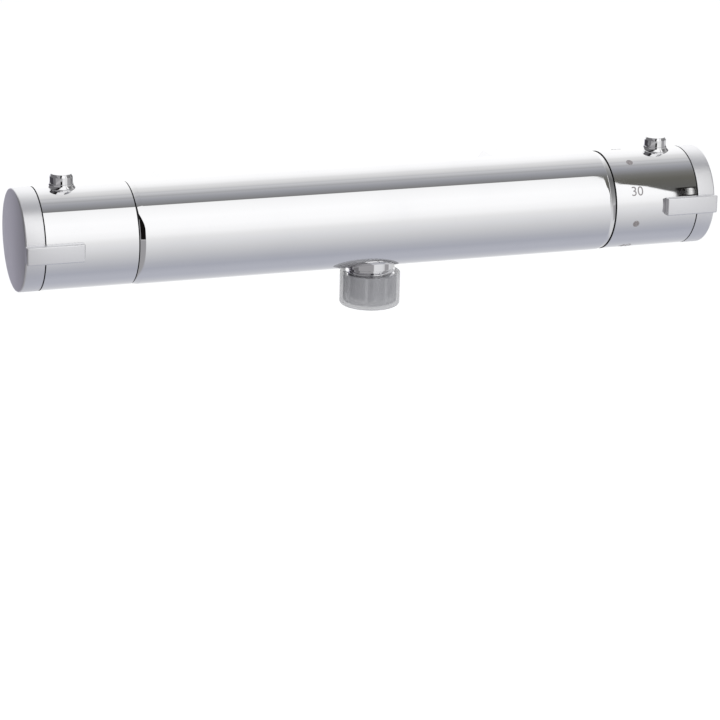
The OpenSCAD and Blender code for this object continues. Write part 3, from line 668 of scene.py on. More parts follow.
def arc(centre: Span, radius: float, start: float, end: float, steps: int = 5) -> list[Span]:
    """Points of a round stretch of an outline.

    Args:
        centre: its centre, in millimetres.
        radius: its radius, in millimetres.
        start: its first angle, in degrees.
        end: its last angle, in degrees.
        steps: its number of steps.

    Returns:
        The points in order.
    """
    angles = [math.radians(start + (end - start) * i / steps) for i in range(steps + 1)]
    return [(centre[0] + radius * math.cos(a), centre[1] + radius * math.sin(a)) for a in angles]


def carve(piece: bpy.types.Object, cutters: Sequence[bpy.types.Object],
          cut: Cut = Cut.AWAY) -> None:
    """Applies booleans, one for each cutter.

    Args:
        piece: the piece that is cut, trimmed or added to.
        cutters: the closed shapes that do it, which are removed.
        cut: what the booleans do.
    """
    for cutter in cutters:
        step = piece.modifiers.new(cutter.name, "BOOLEAN")
        step.operation = cut.value
        step.object = cutter
        step.solver = "EXACT"
    bpy.context.view_layer.update()
    graph = bpy.context.evaluated_depsgraph_get()
    mesh = bpy.data.meshes.new_from_object(piece.evaluated_get(graph))
    piece.modifiers.clear()
    piece.data = mesh
    for cutter in cutters:
        bpy.data.objects.remove(cutter)


def rod(radius: float, low: float, high: float, steps: int = FINE_STEPS) -> bmesh.types.BMesh:
    """A plain closed cylinder along Z, in millimetres.

    Args:
        radius: its radius.
        low: its lower end.
        high: its upper end.
        steps: its facets.

    Returns:
        The shape in metres.
    """
    bm = bmesh.new()
    bmesh.ops.create_cone(bm, cap_ends=True, segments=steps, radius1=radius * MM,
                          radius2=radius * MM, depth=(high - low) * MM)
    bmesh.ops.translate(bm, verts=bm.verts, vec=(0, 0, (low + high) / 2 * MM))
    return bm


def block(size: Sequence[float], middle: Sequence[float] = (0, 0, 0)) -> bmesh.types.BMesh:
    """A box along the axes, in millimetres.

    Args:
        size: its three sides.
        middle: its middle.

    Returns:
        The shape in metres.
    """
    bm = bmesh.new()
    bmesh.ops.create_cube(bm, size=1.0)
    bmesh.ops.scale(bm, verts=bm.verts, vec=Vector(size) * MM)
    bmesh.ops.translate(bm, verts=bm.verts, vec=Vector(middle) * MM)
    return bm


def pour(extra: bmesh.types.BMesh, into: bmesh.types.BMesh) -> None:
    """Adds a closed shape to another as it is.

    Args:
        extra: the shape, which is freed.
        into: the other shape.
    """
    mesh = bpy.data.meshes.new("extra")
    extra.to_mesh(mesh)
    extra.free()
    into.from_mesh(mesh)
    bpy.data.meshes.remove(mesh)


# How far a corner may lie off a round wall, in millimetres, and how squarely a face has to look
# outwards to be part of it
WALL_PLAY = 0.004
WALL_FACING = 0.8


def exact_normals(piece: bpy.types.Object, foot: Vector, axis: Vector, radius: float) -> None:
    """Gives a round wall its true normals, so that mirror polish shows no facets.

    Args:
        piece: the piece, after smooth_by_angle.
        foot: a point on the axis, in metres.
        axis: the axis.
        radius: the wall's radius in millimetres.
    """
    def outwards(place: Vector) -> Vector:
        """The way from the axis to a place, square to the axis."""
        out = place - foot
        return out - axis * out.dot(axis)

    mesh = piece.data
    normals = [Vector(c.vector) for c in mesh.corner_normals]
    for face in mesh.polygons:
        if any(abs(outwards(mesh.vertices[index].co).length - radius * MM) >= WALL_PLAY * MM
               for index in face.vertices):
            continue
        for loop in face.loop_indices:
            out = outwards(mesh.vertices[mesh.loops[loop].vertex_index].co)
            if face.normal.dot(out) > WALL_FACING * out.length:
                normals[loop] = out.normalized()
    mesh.normals_split_custom_set([tuple(n) for n in normals])


class Builder:
    """What every sub-assembly needs: the palette and a way to hand a piece over."""

    # How squarely an end face looks along the bar, and how near to its place it lies in mm
    END_FACING = 0.6
    END_REACH = 0.13

    def __init__(self, palette: Palette) -> None:
        """Keeps the palette.

        Args:
            palette: the finishes.
        """
        self.palette = palette

    def hand_over(self, piece: bpy.types.Object, slot: Slot, body: Body, *nodes: str) -> None:
        """Dresses a piece, lets it ride and hides the nodes that it stands for.

        Args:
            piece: the piece.
            slot: its finish.
            body: the body that carries it.
            nodes: the nodes that it replaces.
        """
        self.palette.dress(piece, slot)
        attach(piece, body.value)
        if nodes:
            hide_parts(*nodes)
        log.info("piece %s: %d faces on %s", piece.name, len(piece.data.polygons), body.value)

    def paint_seam_shade(self, piece: bpy.types.Object, *places: float) -> None:
        """Paints the end faces inside the seams near black, as painted shade, so that the seams
        look dark.

        Args:
            piece: the piece, after hand_over.
            places: where the end faces lie, outwards along the bar in millimetres.
        """
        # The second slot holds the painted shade of the seams, put on the end faces near them
        piece.data.materials.append(self.palette.gap)
        for face in piece.data.polygons:
            out = abs(face.center.x / MM + BAR.shift)
            near = any(abs(out - place) < self.END_REACH for place in places)
            if near and abs(face.normal.x) > self.END_FACING:
                face.material_index = 1


def shift(x: float, y: float, z: float) -> Matrix:
    """Moves a shape, in millimetres."""
    return Matrix.Translation(Vector((x, y, z)) * MM)


# Sizes, in millimetres

@dataclass(frozen=True)
class BarSizes:
    """Where the bar lies and how thick it is."""

    shift: float = 1.5
    wall_reach: float = 41.0
    body_r: float = 21.5
    body_half: float = 105.0
    shell_wall: float = 2.0
    # The chamfer at each end, and how steeply it falls at its start and at its end
    chamfer_len: float = 2.4
    chamfer_start: float = 0.167
    chamfer_end: float = 0.291
    chamfer_steps: int = 6
    # The faint fall of the wall before the chamfer
    roll_len: float = 5.0
    roll_depth: float = 0.016
    roll_power: int = 4
    roll_steps: int = 12
    edge_round: float = 0.1
    edge_degrees: float = 8.0
    inlet_hole_r: float = 12.1
    outlet_hole_r: float = 10.58
    inlet_half: float = 75.0

    @property
    def axis_foot(self) -> Vector:
        """The bar's own middle, in metres."""
        return Vector((-self.shift, -self.wall_reach, 0)) * MM


BAR = BarSizes()


def along_bar(side: Side) -> Matrix:
    """Turns a shape drawn about Z so that it runs outwards along the bar.

    Args:
        side: the end of the bar.

    Returns:
        The matrix that places it.
    """
    turn = Matrix.Rotation(side.sign * math.pi / 2, 4, "Y")
    return Matrix.Translation(BAR.axis_foot) @ turn


def along_inlet(side: Side) -> Matrix:
    """Turns a shape drawn about Z so that it runs to the wall along an inlet.

    Args:
        side: the end of the bar that the inlet is nearer to.

    Returns:
        The matrix that places it.
    """
    return (shift(side.sign * BAR.inlet_half, -BAR.wall_reach, 0)
            @ Matrix.Rotation(-math.pi / 2, 4, "X"))


class BodyShell(Builder):
    """The chromed tube between the two handles."""

    def build(self) -> None:
        """Makes the tube, with its chamfered ends and the holes for inlets and outlet."""
        b = BAR
        inner = b.body_r - b.shell_wall
        edge = b.body_half - b.chamfer_len
        rise = (b.chamfer_end - b.chamfer_start) / 2
        end = [(b.body_r - b.roll_depth * share ** b.roll_power, edge - b.roll_len * (1 - share))
               for share in shares(b.roll_steps)]
        end += [(b.body_r - b.roll_depth - b.chamfer_len * share * (b.chamfer_start + rise * share),
                 edge + b.chamfer_len * share) for share in shares(b.chamfer_steps)[1:]]
        bm = turned([
            (inner, -b.body_half), *((r, -z) for r, z in reversed(end)), *end,
            (inner, b.body_half),
        ], closed=True)
        round_edges(bm, b.edge_round, b.edge_degrees)
        bm.transform(along_bar(Side.TEMP))
        piece = make_piece("body_tube", bm)
        holes = []
        for side in Side:
            hole = rod(b.inlet_hole_r, 0, 2 * b.body_r)
            hole.transform(along_inlet(side))
            holes.append(make_piece("inlet_hole", hole))
        hole = rod(b.outlet_hole_r, -2 * b.body_r, 0)
        hole.transform(shift(0, -b.wall_reach, 0))
        carve(piece, [*holes, make_piece("outlet_hole", hole)])
        smooth_by_angle(piece)
        exact_normals(piece, b.axis_foot, X_AXIS, b.body_r)
        self.hand_over(piece, Slot.CHROME, Body.VALVE, "body_shell")
        # Painted shade on the end faces in the seams
        self.paint_seam_shade(piece, b.body_half)


@dataclass(frozen=True)
class HandleSizes:
    """One handle with its cap and button; u counts outwards from the bar's middle."""

    # Sleeve, counted in u
    radius: float = 21.2
    wall: float = 2.4
    start: float = 105.4
    length: float = 38.2
    web_inset: float = 4.1
    web: float = 3.0
    screw_hole_r: float = 2.05
    edge: float = 0.12
    # End cap, with its lever tab
    cap_gap: float = 0.3
    cap_len: float = 8.1
    cap_face: float = 3.0
    cap_edge: float = 0.7
    cap_turn: float = 2.2
    spigot_play: float = 0.1
    spigot_wall: float = 2.1
    spigot_len: float = 3.8
    tab_width: float = 7.6
    tab_len: float = 23.8
    tab_proud: float = 2.65
    tab_edge: float = 0.6
    tab_gap: float = 0.15
    tab_bite: float = 0.6
    # Boss in the sleeve, with the button's pocket; heights count from the bar's axis
    button_inset: float = 11.5
    button_bore_r: float = 5.46
    boss_r: float = 7.41
    boss_floor: float = 13.2
    pocket_floor: float = 14.4
    # Button
    button_r: float = 4.75
    button_h: float = 5.35
    button_slope: float = 1.15
    rim_inset: float = 0.58
    rim_drop: float = 0.14
    rim_middle: float = 0.74
    rim_r: float = 0.2
    button_round: float = 0.08
    catch_r: float = 1.3
    catch_play: float = 0.1
    catch_tip: float = 11.1
    flange_low: float = 18.2
    flange_high: float = 19.2
    flange_r: float = 5.31
    # Collar round the button
    collar_play: float = 0.06
    collar_wall: float = 0.6
    collar_h: float = 1.5
    lip_inset: float = 0.12
    lip_edge: float = 0.05
    lip_drop: float = 0.08
    waist_step: float = 0.2
    flare_waist: float = 5.15
    flare_turn: float = 21.8
    flare_r: float = 6.15
    flare_foot: float = 20.1
    flare_power: float = 1.5
    flare_steps: int = 7
    lining_gap: float = 0.1
    lining_out: float = 0.7
    lining_in: float = 0.4

    @property
    def end(self) -> float:
        """Where the sleeve ends."""
        return self.start + self.length

    @property
    def button_u(self) -> float:
        """Where the button stands."""
        return self.end - self.button_inset


HANDLE = HandleSizes()


class Handle(Builder):
    """A handle: polished sleeve, satin end cap with its tab, button and collar."""

    def __init__(self, palette: Palette, side: Side) -> None:
        """Chooses the end of the bar.

        Args:
            palette: the finishes.
            side: the end of the bar.
        """
        super().__init__(palette)
        self.side = side
        self.knob = Body.FLOW if side is Side.FLOW else Body.TEMP
        self.button = Body.FLOW_BUTTON if side is Side.FLOW else Body.TEMP_BUTTON
        self.upright = Matrix.Translation(
            BAR.axis_foot + Vector((side.sign * HANDLE.button_u * MM, 0, 0)))

    def name(self, noun: str) -> str:
        """Name of a node or piece at this end."""
        return f"{self.side.prefix}_{noun}"

    def build(self) -> None:
        """Makes all the pieces of this handle."""
        self.build_sleeve()
        self.build_cap()
        self.build_button()
        self.build_collar()

    def build_sleeve(self) -> None:
        """Makes the polished sleeve with its web, button boss and drilled holes."""
        h = HANDLE
        inner = h.radius - h.wall
        web_out = h.end - h.web_inset
        web_in = web_out - h.web
        bm = turned([
            (inner, h.start), (h.radius - h.edge, h.start), (h.radius, h.start + h.edge),
            (h.radius, h.end - h.edge), (h.radius - h.edge, h.end), (inner, h.end),
            (inner, web_out), (h.screw_hole_r, web_out), (h.screw_hole_r, web_in), (inner, web_in),
        ], closed=True)
        bm.transform(along_bar(self.side))
        piece = make_piece(self.name("sleeve"), bm)
        boss = rod(h.boss_r, h.boss_floor, h.radius - h.wall / 2)
        boss.transform(self.upright)
        trim = rod(h.radius - h.wall / 2, h.start + h.wall, web_in + h.web / 2)
        trim.transform(along_bar(self.side))
        boss_piece = make_piece("boss", boss)
        carve(boss_piece, [make_piece("boss_trim", trim)], Cut.TRIM)
        carve(piece, [boss_piece], Cut.ADD)
        pocket = rod(h.button_bore_r, h.pocket_floor, 2 * h.radius)
        pocket.transform(self.upright)
        catch = rod(h.catch_r + h.catch_play, 0, h.pocket_floor + OVERRUN)
        catch.transform(self.upright)
        carve(piece, [make_piece("pocket", pocket), make_piece("catch_hole", catch)])
        smooth_by_angle(piece)
        exact_normals(piece, BAR.axis_foot, X_AXIS, h.radius)
        self.hand_over(piece, Slot.CHROME, self.knob, self.name("handle"))
        # Painted shade on the end faces in the seams
        self.paint_seam_shade(piece, h.start, h.end)

    def build_cap(self) -> None:
        """Makes the satin cup that closes the handle, and the lever tab on it."""
        h = HANDLE
        start = h.end + h.cap_gap
        end = start + h.cap_len
        spigot = h.radius - h.wall - h.spigot_play
        inner = spigot - h.spigot_wall
        bm = turned([
            (0, end - h.cap_face), (inner, end - h.cap_face), (inner, start - h.spigot_len),
            (spigot, start - h.spigot_len), (spigot, start), (h.radius - h.edge, start),
            (h.radius, start + h.edge),
            *arc((h.radius - h.cap_edge, end - h.cap_edge), h.cap_edge, 0, 90),
            (0, end),
        ], closed=False)
        bm.transform(along_bar(self.side))
        cap = make_piece(self.name("cap"), bm)
        carve(cap, [self.tab(start, end)], Cut.ADD)
        turn = Matrix.Rotation(-self.side.sign * math.radians(h.cap_turn), 4, "X")
        foot = BAR.axis_foot
        cap.data.transform(Matrix.Translation(foot) @ turn @ Matrix.Translation(-foot))
        smooth_by_angle(cap, degrees=24.0)
        self.hand_over(cap, Slot.SATIN, self.knob, self.name("end_cap"))
        # Painted shade on the end face in the seam
        self.paint_seam_shade(cap, start)

    def tab(self, start: float, end: float) -> bpy.types.Object:
        """A bar with rounded edges that stands proud of the handle's front.

        Args:
            start: where the cap starts; up to there the tab clears the sleeve.
            end: where the cap's face lies.

        Returns:
            The bar as a separate piece.
        """
        h = HANDLE
        front = h.radius + h.tab_proud
        back = h.radius - h.tab_bite
        bm = block((h.tab_len, front - back, h.tab_width))
        bevel(bm, [e for e in bm.edges if self.shows(e)], h.tab_edge, 4)
        middle = self.side.sign * (end - h.tab_len / 2)
        bm.transform(Matrix.Translation(BAR.axis_foot) @ shift(middle, -(front + back) / 2, 0))
        relief = rod(h.radius + h.tab_gap, h.start, start)
        relief.transform(along_bar(self.side))
        piece = make_piece("tab", bm)
        carve(piece, [make_piece("relief", relief)])
        return piece

    @staticmethod
    def shows(edge: bmesh.types.BMEdge) -> bool:
        """Whether an edge of the tab lies in its front or runs from the front to the back."""
        near, far = sorted(v.co.y for v in edge.verts)
        return far < 0 or far - near > MM

    def build_button(self) -> None:
        """Makes the peg with its sloped rim, its flange and the catch pin below."""
        h = HANDLE
        top = h.radius + h.button_h
        r = h.button_r
        bm = turned([
            (0, h.catch_tip), (h.catch_r, h.catch_tip), (h.catch_r, h.flange_low),
            (h.flange_r, h.flange_low), (h.flange_r, h.flange_high), (r, h.flange_high),
            (r, top - h.button_slope), (r - h.rim_inset, top - h.rim_drop),
            *arc((r - h.rim_middle, top - h.rim_r), h.rim_r, 20, 90, 4), (0, top),
        ], closed=False, steps=FINE_STEPS)
        round_edges(bm, h.button_round, degrees=20.0, segments=2)
        bm.transform(self.upright)
        piece = make_piece(self.name("peg"), bm)
        smooth_by_angle(piece, degrees=32.0)
        self.hand_over(piece, Slot.CHROME, self.button, self.name("button"))

    def build_collar(self) -> None:
        """Makes the flared collar round the peg."""
        h = HANDLE
        inner = h.button_r + h.collar_play
        outer = inner + h.collar_wall
        top = h.radius + h.collar_h
        waist = inner + h.waist_step
        lip = top - h.lip_drop
        curve = [(waist + (h.flare_waist - waist) * share ** h.flare_power,
                  lip - (lip - h.flare_turn) * share) for share in shares(h.flare_steps)]
        bm = turned([
            (outer - h.lip_edge, h.flare_foot), (h.flare_r, h.flare_foot),
            (h.flare_r, h.flare_turn - (h.flare_r - h.flare_waist)),
            *reversed(curve), (inner + h.lip_inset, top),
            (inner, top - h.lip_edge), (inner, h.flare_foot),
        ], closed=True, steps=FINE_STEPS)
        bm.transform(self.upright)
        piece = make_piece(self.name("collar"), bm)
        seat = rod(h.radius, h.start, h.end, SPIN_STEPS)
        seat.transform(along_bar(self.side))
        carve(piece, [make_piece("seat", seat)])
        low = h.flange_high + h.lining_gap
        lining = turned([(inner, low), (outer, low), (outer, h.radius - h.lining_out),
                         (inner, h.radius + h.lining_in)], closed=True, steps=FINE_STEPS)
        lining.transform(self.upright)
        carve(piece, [make_piece("lining", lining)], Cut.ADD)
        smooth_by_angle(piece, degrees=32.0)
        self.hand_over(piece, Slot.CHROME, self.knob, self.name("button_collar"))


# A thread ridge: how deep its foot sinks into the wall, steps in a turn, and its outline by
# shares of the pitch: foot, crest's lower edge and crest
RIDGE_SINK = 0.15
RIDGE_STEPS = 48
RIDGE_SHARES = (0.03, 0.40, 0.46)


def ridge(root: float, tip: float, start: float, end: float, pitch: float) -> bmesh.types.BMesh:
    """Winds one closed thread ridge about Z.

    Args:
        root: radius of its foot, in millimetres.
        tip: radius of its crest; smaller than the root for a thread in a bore.
        start: height at which it starts.
        end: height at which it ends.
        pitch: rise of one turn.

    Returns:
        The shape in metres, with its faces outwards.
    """
    sink = math.copysign(RIDGE_SINK, tip - root)
    turns = (end - start) / pitch - 1
    steps = math.ceil(turns * RIDGE_STEPS)
    bm = bmesh.new()
    foot, flank, crest = RIDGE_SHARES
    rising = [(root - sink, 0.0), (root, foot), (tip - sink / 3, flank), (tip, crest)]
    outline = rising + [(r, 1 - share) for r, share in reversed(rising)]
    corners = [bm.verts.new((r * MM, 0, (start + share * pitch) * MM)) for r, share in outline]
    edges = [bm.edges.new(pair) for pair in zip(corners, corners[1:] + corners[:1])]
    bmesh.ops.spin(bm, geom=corners + edges, cent=(0, 0, 0), axis=(0, 0, 1),
                   dvec=(0, 0, pitch * turns / steps * MM), angle=math.tau * turns, steps=steps,
                   use_merge=False, use_duplicate=False)
    close_up(bm)
    return bm


def hexagon_bar(flats: float, low: float, high: float) -> bmesh.types.BMesh:
    """A closed hexagonal bar along Z with two corners on X, in millimetres.

    Args:
        flats: size across its flats.
        low: its lower end.
        high: its upper end.

    Returns:
        The shape in metres.
    """
    bm = rod(flats / math.sqrt(3), low, high, 6)
    swing(bm, math.pi / 6, "Z")
    return bm


def add_thread(piece: bpy.types.Object, thread: bmesh.types.BMesh) -> None:
    """Adds a thread ridge to a piece as it is.

    Args:
        piece: the piece.
        thread: the ridge, which is freed.
    """
    both = bmesh.new()
    both.from_mesh(piece.data)
    pour(thread, both)
    both.to_mesh(piece.data)
    both.free()


@dataclass(frozen=True)
class InletSizes:
    """An inlet, measured from the bar's axis towards the wall."""

    # Tail
    tail_bore: float = 6.2
    spigot_start: float = 12.7
    spigot_r: float = 9.4
    groove_low: float = 13.2
    groove_high: float = 15.0
    groove_r: float = 7.6
    seat: float = 17.0
    flange_r: float = 12.0
    flange_end: float = 23.5
    neck_r: float = 10.76
    collar_start: float = 27.1
    collar_r: float = 11.86
    tail_end: float = 29.9
    tail_round: float = 0.2
    check_bore: float = 7.6
    check_start: float = 16.6
    # Washer, and the screen woven of wires in it
    washer_t: float = 2.0
    washer_bore: float = 6.4
    washer_round: float = 0.35
    wire_r: float = 0.16
    wire_step: float = 1.15
    wire_hold: float = 0.3
    # Union nut
    nut_start: float = 24.0
    nut_end: float = 41.0
    nut_flats: float = 30.0
    nut_corner_share: float = 0.92
    nut_rise: float = 1.3
    nut_round: float = 0.18
    crown_play: float = 0.05
    lip_r: float = 11.06
    lip_end: float = 27.0
    lip_flare: float = 0.5
    relief_r: float = 13.3
    relief_end: float = 32.0
    mouth_r: float = 13.4
    mouth_depth: float = 0.4
    thread_major: float = 13.22
    thread_minor: float = 12.06
    thread_pitch: float = 1.814
    thread_lead: float = 0.2
    thread_stop: float = 0.6


INLET = InletSizes()


class Inlet(Builder):
    """One inlet: the chromed tail, the union nut on it and the filter washer in the nut."""

    def __init__(self, palette: Palette, side: Side) -> None:
        """Chooses the inlet.

        Args:
            palette: the finishes.
            side: hot water comes in at the flow end, cold water at the other.
        """
        super().__init__(palette)
        self.water = "hot" if side is Side.FLOW else "cold"
        self.nut_body = Body.HOT_NUT if side is Side.FLOW else Body.COLD_NUT
        self.place = along_inlet(side)

    def build(self) -> None:
        """Makes the pieces of this inlet."""
        self.build_tail()
        self.build_nut()
        self.build_washer()
        self.build_screen()

    def build_tail(self) -> None:
        """Makes the tail with its O-ring groove, flange and collar."""
        i = INLET
        bm = turned([
            (i.tail_bore, i.spigot_start), (i.spigot_r, i.spigot_start),
            (i.spigot_r, i.groove_low), (i.groove_r, i.groove_low), (i.groove_r, i.groove_high),
            (i.spigot_r, i.groove_high), (i.spigot_r, i.seat), (i.flange_r, i.seat),
            (i.flange_r, i.flange_end), (i.neck_r, i.flange_end), (i.neck_r, i.collar_start),
            (i.collar_r, i.collar_start), (i.collar_r, i.tail_end), (i.check_bore, i.tail_end),
            (i.check_bore, i.check_start), (i.tail_bore, i.check_start),
        ], closed=True, steps=FINE_STEPS)
        round_edges(bm, i.tail_round, degrees=40.0, segments=2)
        bm.transform(self.place)
        piece = make_piece(f"{self.water}_tail", bm)
        smooth_by_angle(piece)
        self.hand_over(piece, Slot.CHROME, Body.VALVE, f"inlet_tail_{self.water}")

    def build_nut(self) -> None:
        """Makes the hexagon nut with chamfered corners, a captive lip and its inside thread."""
        i = INLET
        corner = i.nut_flats / math.sqrt(3)
        end = corner * i.nut_corner_share
        crown_r = corner + i.crown_play
        lip = i.lip_r + i.lip_flare
        shape = make_piece(f"{self.water}_nut", hexagon_bar(i.nut_flats, i.nut_start, i.nut_end))
        crown = turned([
            (0, i.nut_start), (end, i.nut_start), (crown_r, i.nut_start + i.nut_rise),
            (crown_r, i.nut_end - i.nut_rise), (end, i.nut_end), (0, i.nut_end),
        ], closed=False, steps=FINE_STEPS)
        carve(shape, [make_piece("crown", crown)], Cut.TRIM)
        bore = turned([
            (0, i.nut_start - OVERRUN), (lip, i.nut_start - OVERRUN), (lip, i.nut_start),
            (i.lip_r, i.nut_start + i.lip_flare), (i.lip_r, i.lip_end), (i.relief_r, i.lip_end),
            (i.relief_r, i.relief_end), (i.thread_major, i.relief_end),
            (i.thread_major, i.nut_end - i.mouth_depth), (i.mouth_r, i.nut_end),
            (i.mouth_r, i.nut_end + OVERRUN), (0, i.nut_end + OVERRUN),
        ], closed=False, steps=FINE_STEPS)
        carve(shape, [make_piece("bore", bore)])
        add_thread(shape, ridge(i.thread_major, i.thread_minor, i.relief_end + i.thread_lead,
                                i.nut_end - i.thread_stop, i.thread_pitch))
        shape.data.transform(self.place)
        soften = shape.modifiers.new("edge_round", "BEVEL")
        soften.width = i.nut_round * MM
        soften.segments = 2
        soften.limit_method = "ANGLE"
        soften.angle_limit = math.radians(24)
        soften.harden_normals = False
        smooth_by_angle(shape)
        self.hand_over(shape, Slot.CHROME, self.nut_body, f"union_nut_{self.water}")

    def build_washer(self) -> None:
        """Makes the rubber washer."""
        i = INLET
        low, high = i.tail_end, i.tail_end + i.washer_t
        bm = turned([(i.washer_bore, low), (i.collar_r, low), (i.collar_r, high),
                     (i.washer_bore, high)], closed=True, steps=FINE_STEPS)
        round_edges(bm, i.washer_round, degrees=40.0)
        bm.transform(self.place)
        ring = make_piece(f"{self.water}_washer", bm)
        smooth_by_angle(ring)
        self.hand_over(ring, Slot.RUBBER, Body.VALVE, "filter_washers")

    def build_screen(self) -> None:
        """Makes the steel screen in the washer, of wires in two directions."""
        i = INLET
        bm = bmesh.new()
        reach = i.washer_bore + i.wire_hold
        middle = i.tail_end + i.washer_t / 2
        count = int(reach / i.wire_step)
        for k in range(-count, count + 1):
            offset = k * i.wire_step
            length = 2 * math.sqrt(reach ** 2 - offset ** 2)
            for turn, lift in ((0.0, -i.wire_r), (math.pi / 2, i.wire_r)):
                wire = bmesh.ops.create_cone(bm, cap_ends=True, segments=6, radius1=i.wire_r * MM,
                                             radius2=i.wire_r * MM, depth=length * MM)["verts"]
                swing(bm, math.pi / 2, "X", wire)
                bmesh.ops.translate(bm, verts=wire, vec=Vector((offset, 0, middle + lift)) * MM)
                swing(bm, turn, "Z", wire)
        bm.transform(self.place)
        screen = make_piece(f"{self.water}_screen", bm)
        smooth_by_angle(screen, degrees=62.0)
        self.hand_over(screen, Slot.STEEL, Body.VALVE)


@dataclass(frozen=True)
class OutletSizes:
    """The outlet, measured from the bar's axis downwards."""

    # Stub
    spigot_top: float = 11.3
    spigot_r: float = 9.38
    groove_low: float = 15.35
    groove_high: float = 16.85
    groove_r: float = 7.88
    seat: float = 18.5
    reach: float = 35.0
    tip_edge: float = 0.5
    thread_r: float = 10.48
    thread_root: float = 9.32
    thread_start: float = 22.0
    thread_pitch: float = 1.814
    thread_edge: float = 0.2
    thread_fall: float = 0.3
    thread_lead: float = 0.25
    thread_stop: float = 0.4
    bore_r: float = 7.6
    bore_start: float = 20.3
    socket_flats: float = 12.0
    socket_rest: float = 5.0
    # Protector
    cup_top: float = 24.35
    cup_end: float = 38.55
    cup_r: float = 12.8
    cup_inner: float = 11.3
    cup_floor: float = 1.5
    cup_round: float = 1.3
    cup_edge: float = 0.15
    cup_lip: float = 0.35
    lip_depth: float = 1.2
    floor_edge: float = 0.4
    gate_r: float = 1.6
    gate_depth: float = 0.25
    ribs: int = 8
    rib_tip: float = 10.78
    rib_w: float = 1.2
    rib_depth: float = 2.0
    rib_drop: float = 0.8
    rib_turn: float = 18.0
    # A face between these distances from the tips and from the wall belongs to a rib
    rib_before: float = 0.05
    rib_after: float = 0.08
    rib_facing: float = 0.1


OUTLET = OutletSizes()


class Outlet(Builder):
    """The threaded outlet stub and the plastic protector pushed on it."""

    def __init__(self, palette: Palette) -> None:
        """Works out the place of both pieces.

        Args:
            palette: the finishes.
        """
        super().__init__(palette)
        self.place = shift(0, -BAR.wall_reach, 0) @ Matrix.Rotation(math.pi, 4, "X")

    def build(self) -> None:
        """Makes both pieces."""
        self.build_stub()
        self.build_protector()

    def build_stub(self) -> None:
        """Makes the stub with its O-ring groove, thread, bore and hexagon socket."""
        o = OUTLET
        bm = turned([
            (0, o.spigot_top), (o.spigot_r, o.spigot_top), (o.spigot_r, o.groove_low),
            (o.groove_r, o.groove_low), (o.groove_r, o.groove_high), (o.spigot_r, o.groove_high),
            (o.spigot_r, o.seat), (o.thread_r, o.seat),
            (o.thread_r, o.thread_start - o.thread_edge),
            (o.thread_r - o.thread_edge, o.thread_start),
            (o.thread_root, o.thread_start + o.thread_fall), (o.thread_root, o.reach - o.tip_edge),
            (o.thread_root - o.tip_edge, o.reach), (0, o.reach),
        ], closed=False, steps=FINE_STEPS)
        piece = make_piece("outlet_thread", bm)
        socket = hexagon_bar(o.socket_flats, o.spigot_top - OVERRUN, o.reach - o.socket_rest)
        bore = rod(o.bore_r, o.bore_start, o.reach + OVERRUN)
        carve(piece, [make_piece("socket", socket), make_piece("outlet_bore", bore)])
        add_thread(piece, ridge(o.thread_root, o.thread_r, o.thread_start + o.thread_lead,
                                o.reach - o.thread_stop, o.thread_pitch))
        piece.data.transform(self.place)
        smooth_by_angle(piece, degrees=34.0)
        self.hand_over(piece, Slot.CHROME, Body.VALVE, "outlet_stub")

    def build_protector(self) -> None:
        """Makes the translucent cup with its lip, inner ribs and the gate mark in its floor."""
        o = OUTLET
        floor = o.cup_end - o.cup_floor
        gate = o.cup_end - o.gate_depth
        mouth = o.cup_inner + o.cup_lip
        cup = make_piece("protector_cup", turned([
            (0, o.cup_top), (o.cup_r - o.cup_edge, o.cup_top), (o.cup_r, o.cup_top + o.cup_edge),
            *arc((o.cup_r - o.cup_round, o.cup_end - o.cup_round), o.cup_round, 0, 90, 8),
            (o.gate_r, o.cup_end), (o.gate_r - o.gate_depth, gate), (0, gate),
        ], closed=False))
        core = make_piece("core", turned([
            (0, o.cup_top - OVERRUN), (mouth, o.cup_top - OVERRUN), (mouth, o.cup_top),
            (o.cup_inner, o.cup_top + o.lip_depth), (o.cup_inner, floor - o.floor_edge),
            (o.cup_inner - o.floor_edge, floor), (0, floor),
        ], closed=False))
        carve(core, [make_piece("rib", self.rib(k)) for k in range(o.ribs)])
        carve(cup, [core])
        cup.data.transform(self.place)
        smooth_by_angle(cup, degrees=34.0)
        self.hand_over(cup, Slot.CLEAR_PLASTIC, Body.PROTECTOR, "thread_protector")
        self.whiten_ribs(cup)

    @staticmethod
    def rib(number: int) -> bmesh.types.BMesh:
        """One of the ribs that grip the thread.

        Args:
            number: which one, from 0.

        Returns:
            The shape in metres, deep enough to reach into the wall.
        """
        o = OUTLET
        bm = block((o.rib_depth, o.rib_w, o.cup_end - o.cup_top),
                   (o.rib_tip + o.rib_depth / 2, 0, (o.cup_top + o.cup_end) / 2 + o.rib_drop))
        swing(bm, -math.radians(o.rib_turn + number * 360 / o.ribs), "Z")
        return bm

    def whiten_ribs(self, cup: bpy.types.Object) -> None:
        """Gives the sides and tips of the ribs the paler look of thick plastic.

        Args:
            cup: the protector, in its place and after hand_over.
        """
        o = OUTLET
        cup.data.materials.append(self.palette.rib)
        foot = Vector((0, -BAR.wall_reach)) * MM
        for face in cup.data.polygons:
            away = (face.center.xy - foot).length / MM
            on_rib = o.rib_tip - o.rib_before < away < o.cup_inner - o.rib_after
            if on_rib and abs(face.normal.z) < o.rib_facing:
                face.material_index = 1


@dataclass(frozen=True)
class SpringSizes:
    """A compression spring, from its fixed end to the end that its joint presses."""

    node: str
    body: Body
    joint: str
    axis: tuple[float, float, float]
    foot: tuple[float, float, float]
    length: float
    coil_r: float
    wire_r: float
    turns: float
    travel: float


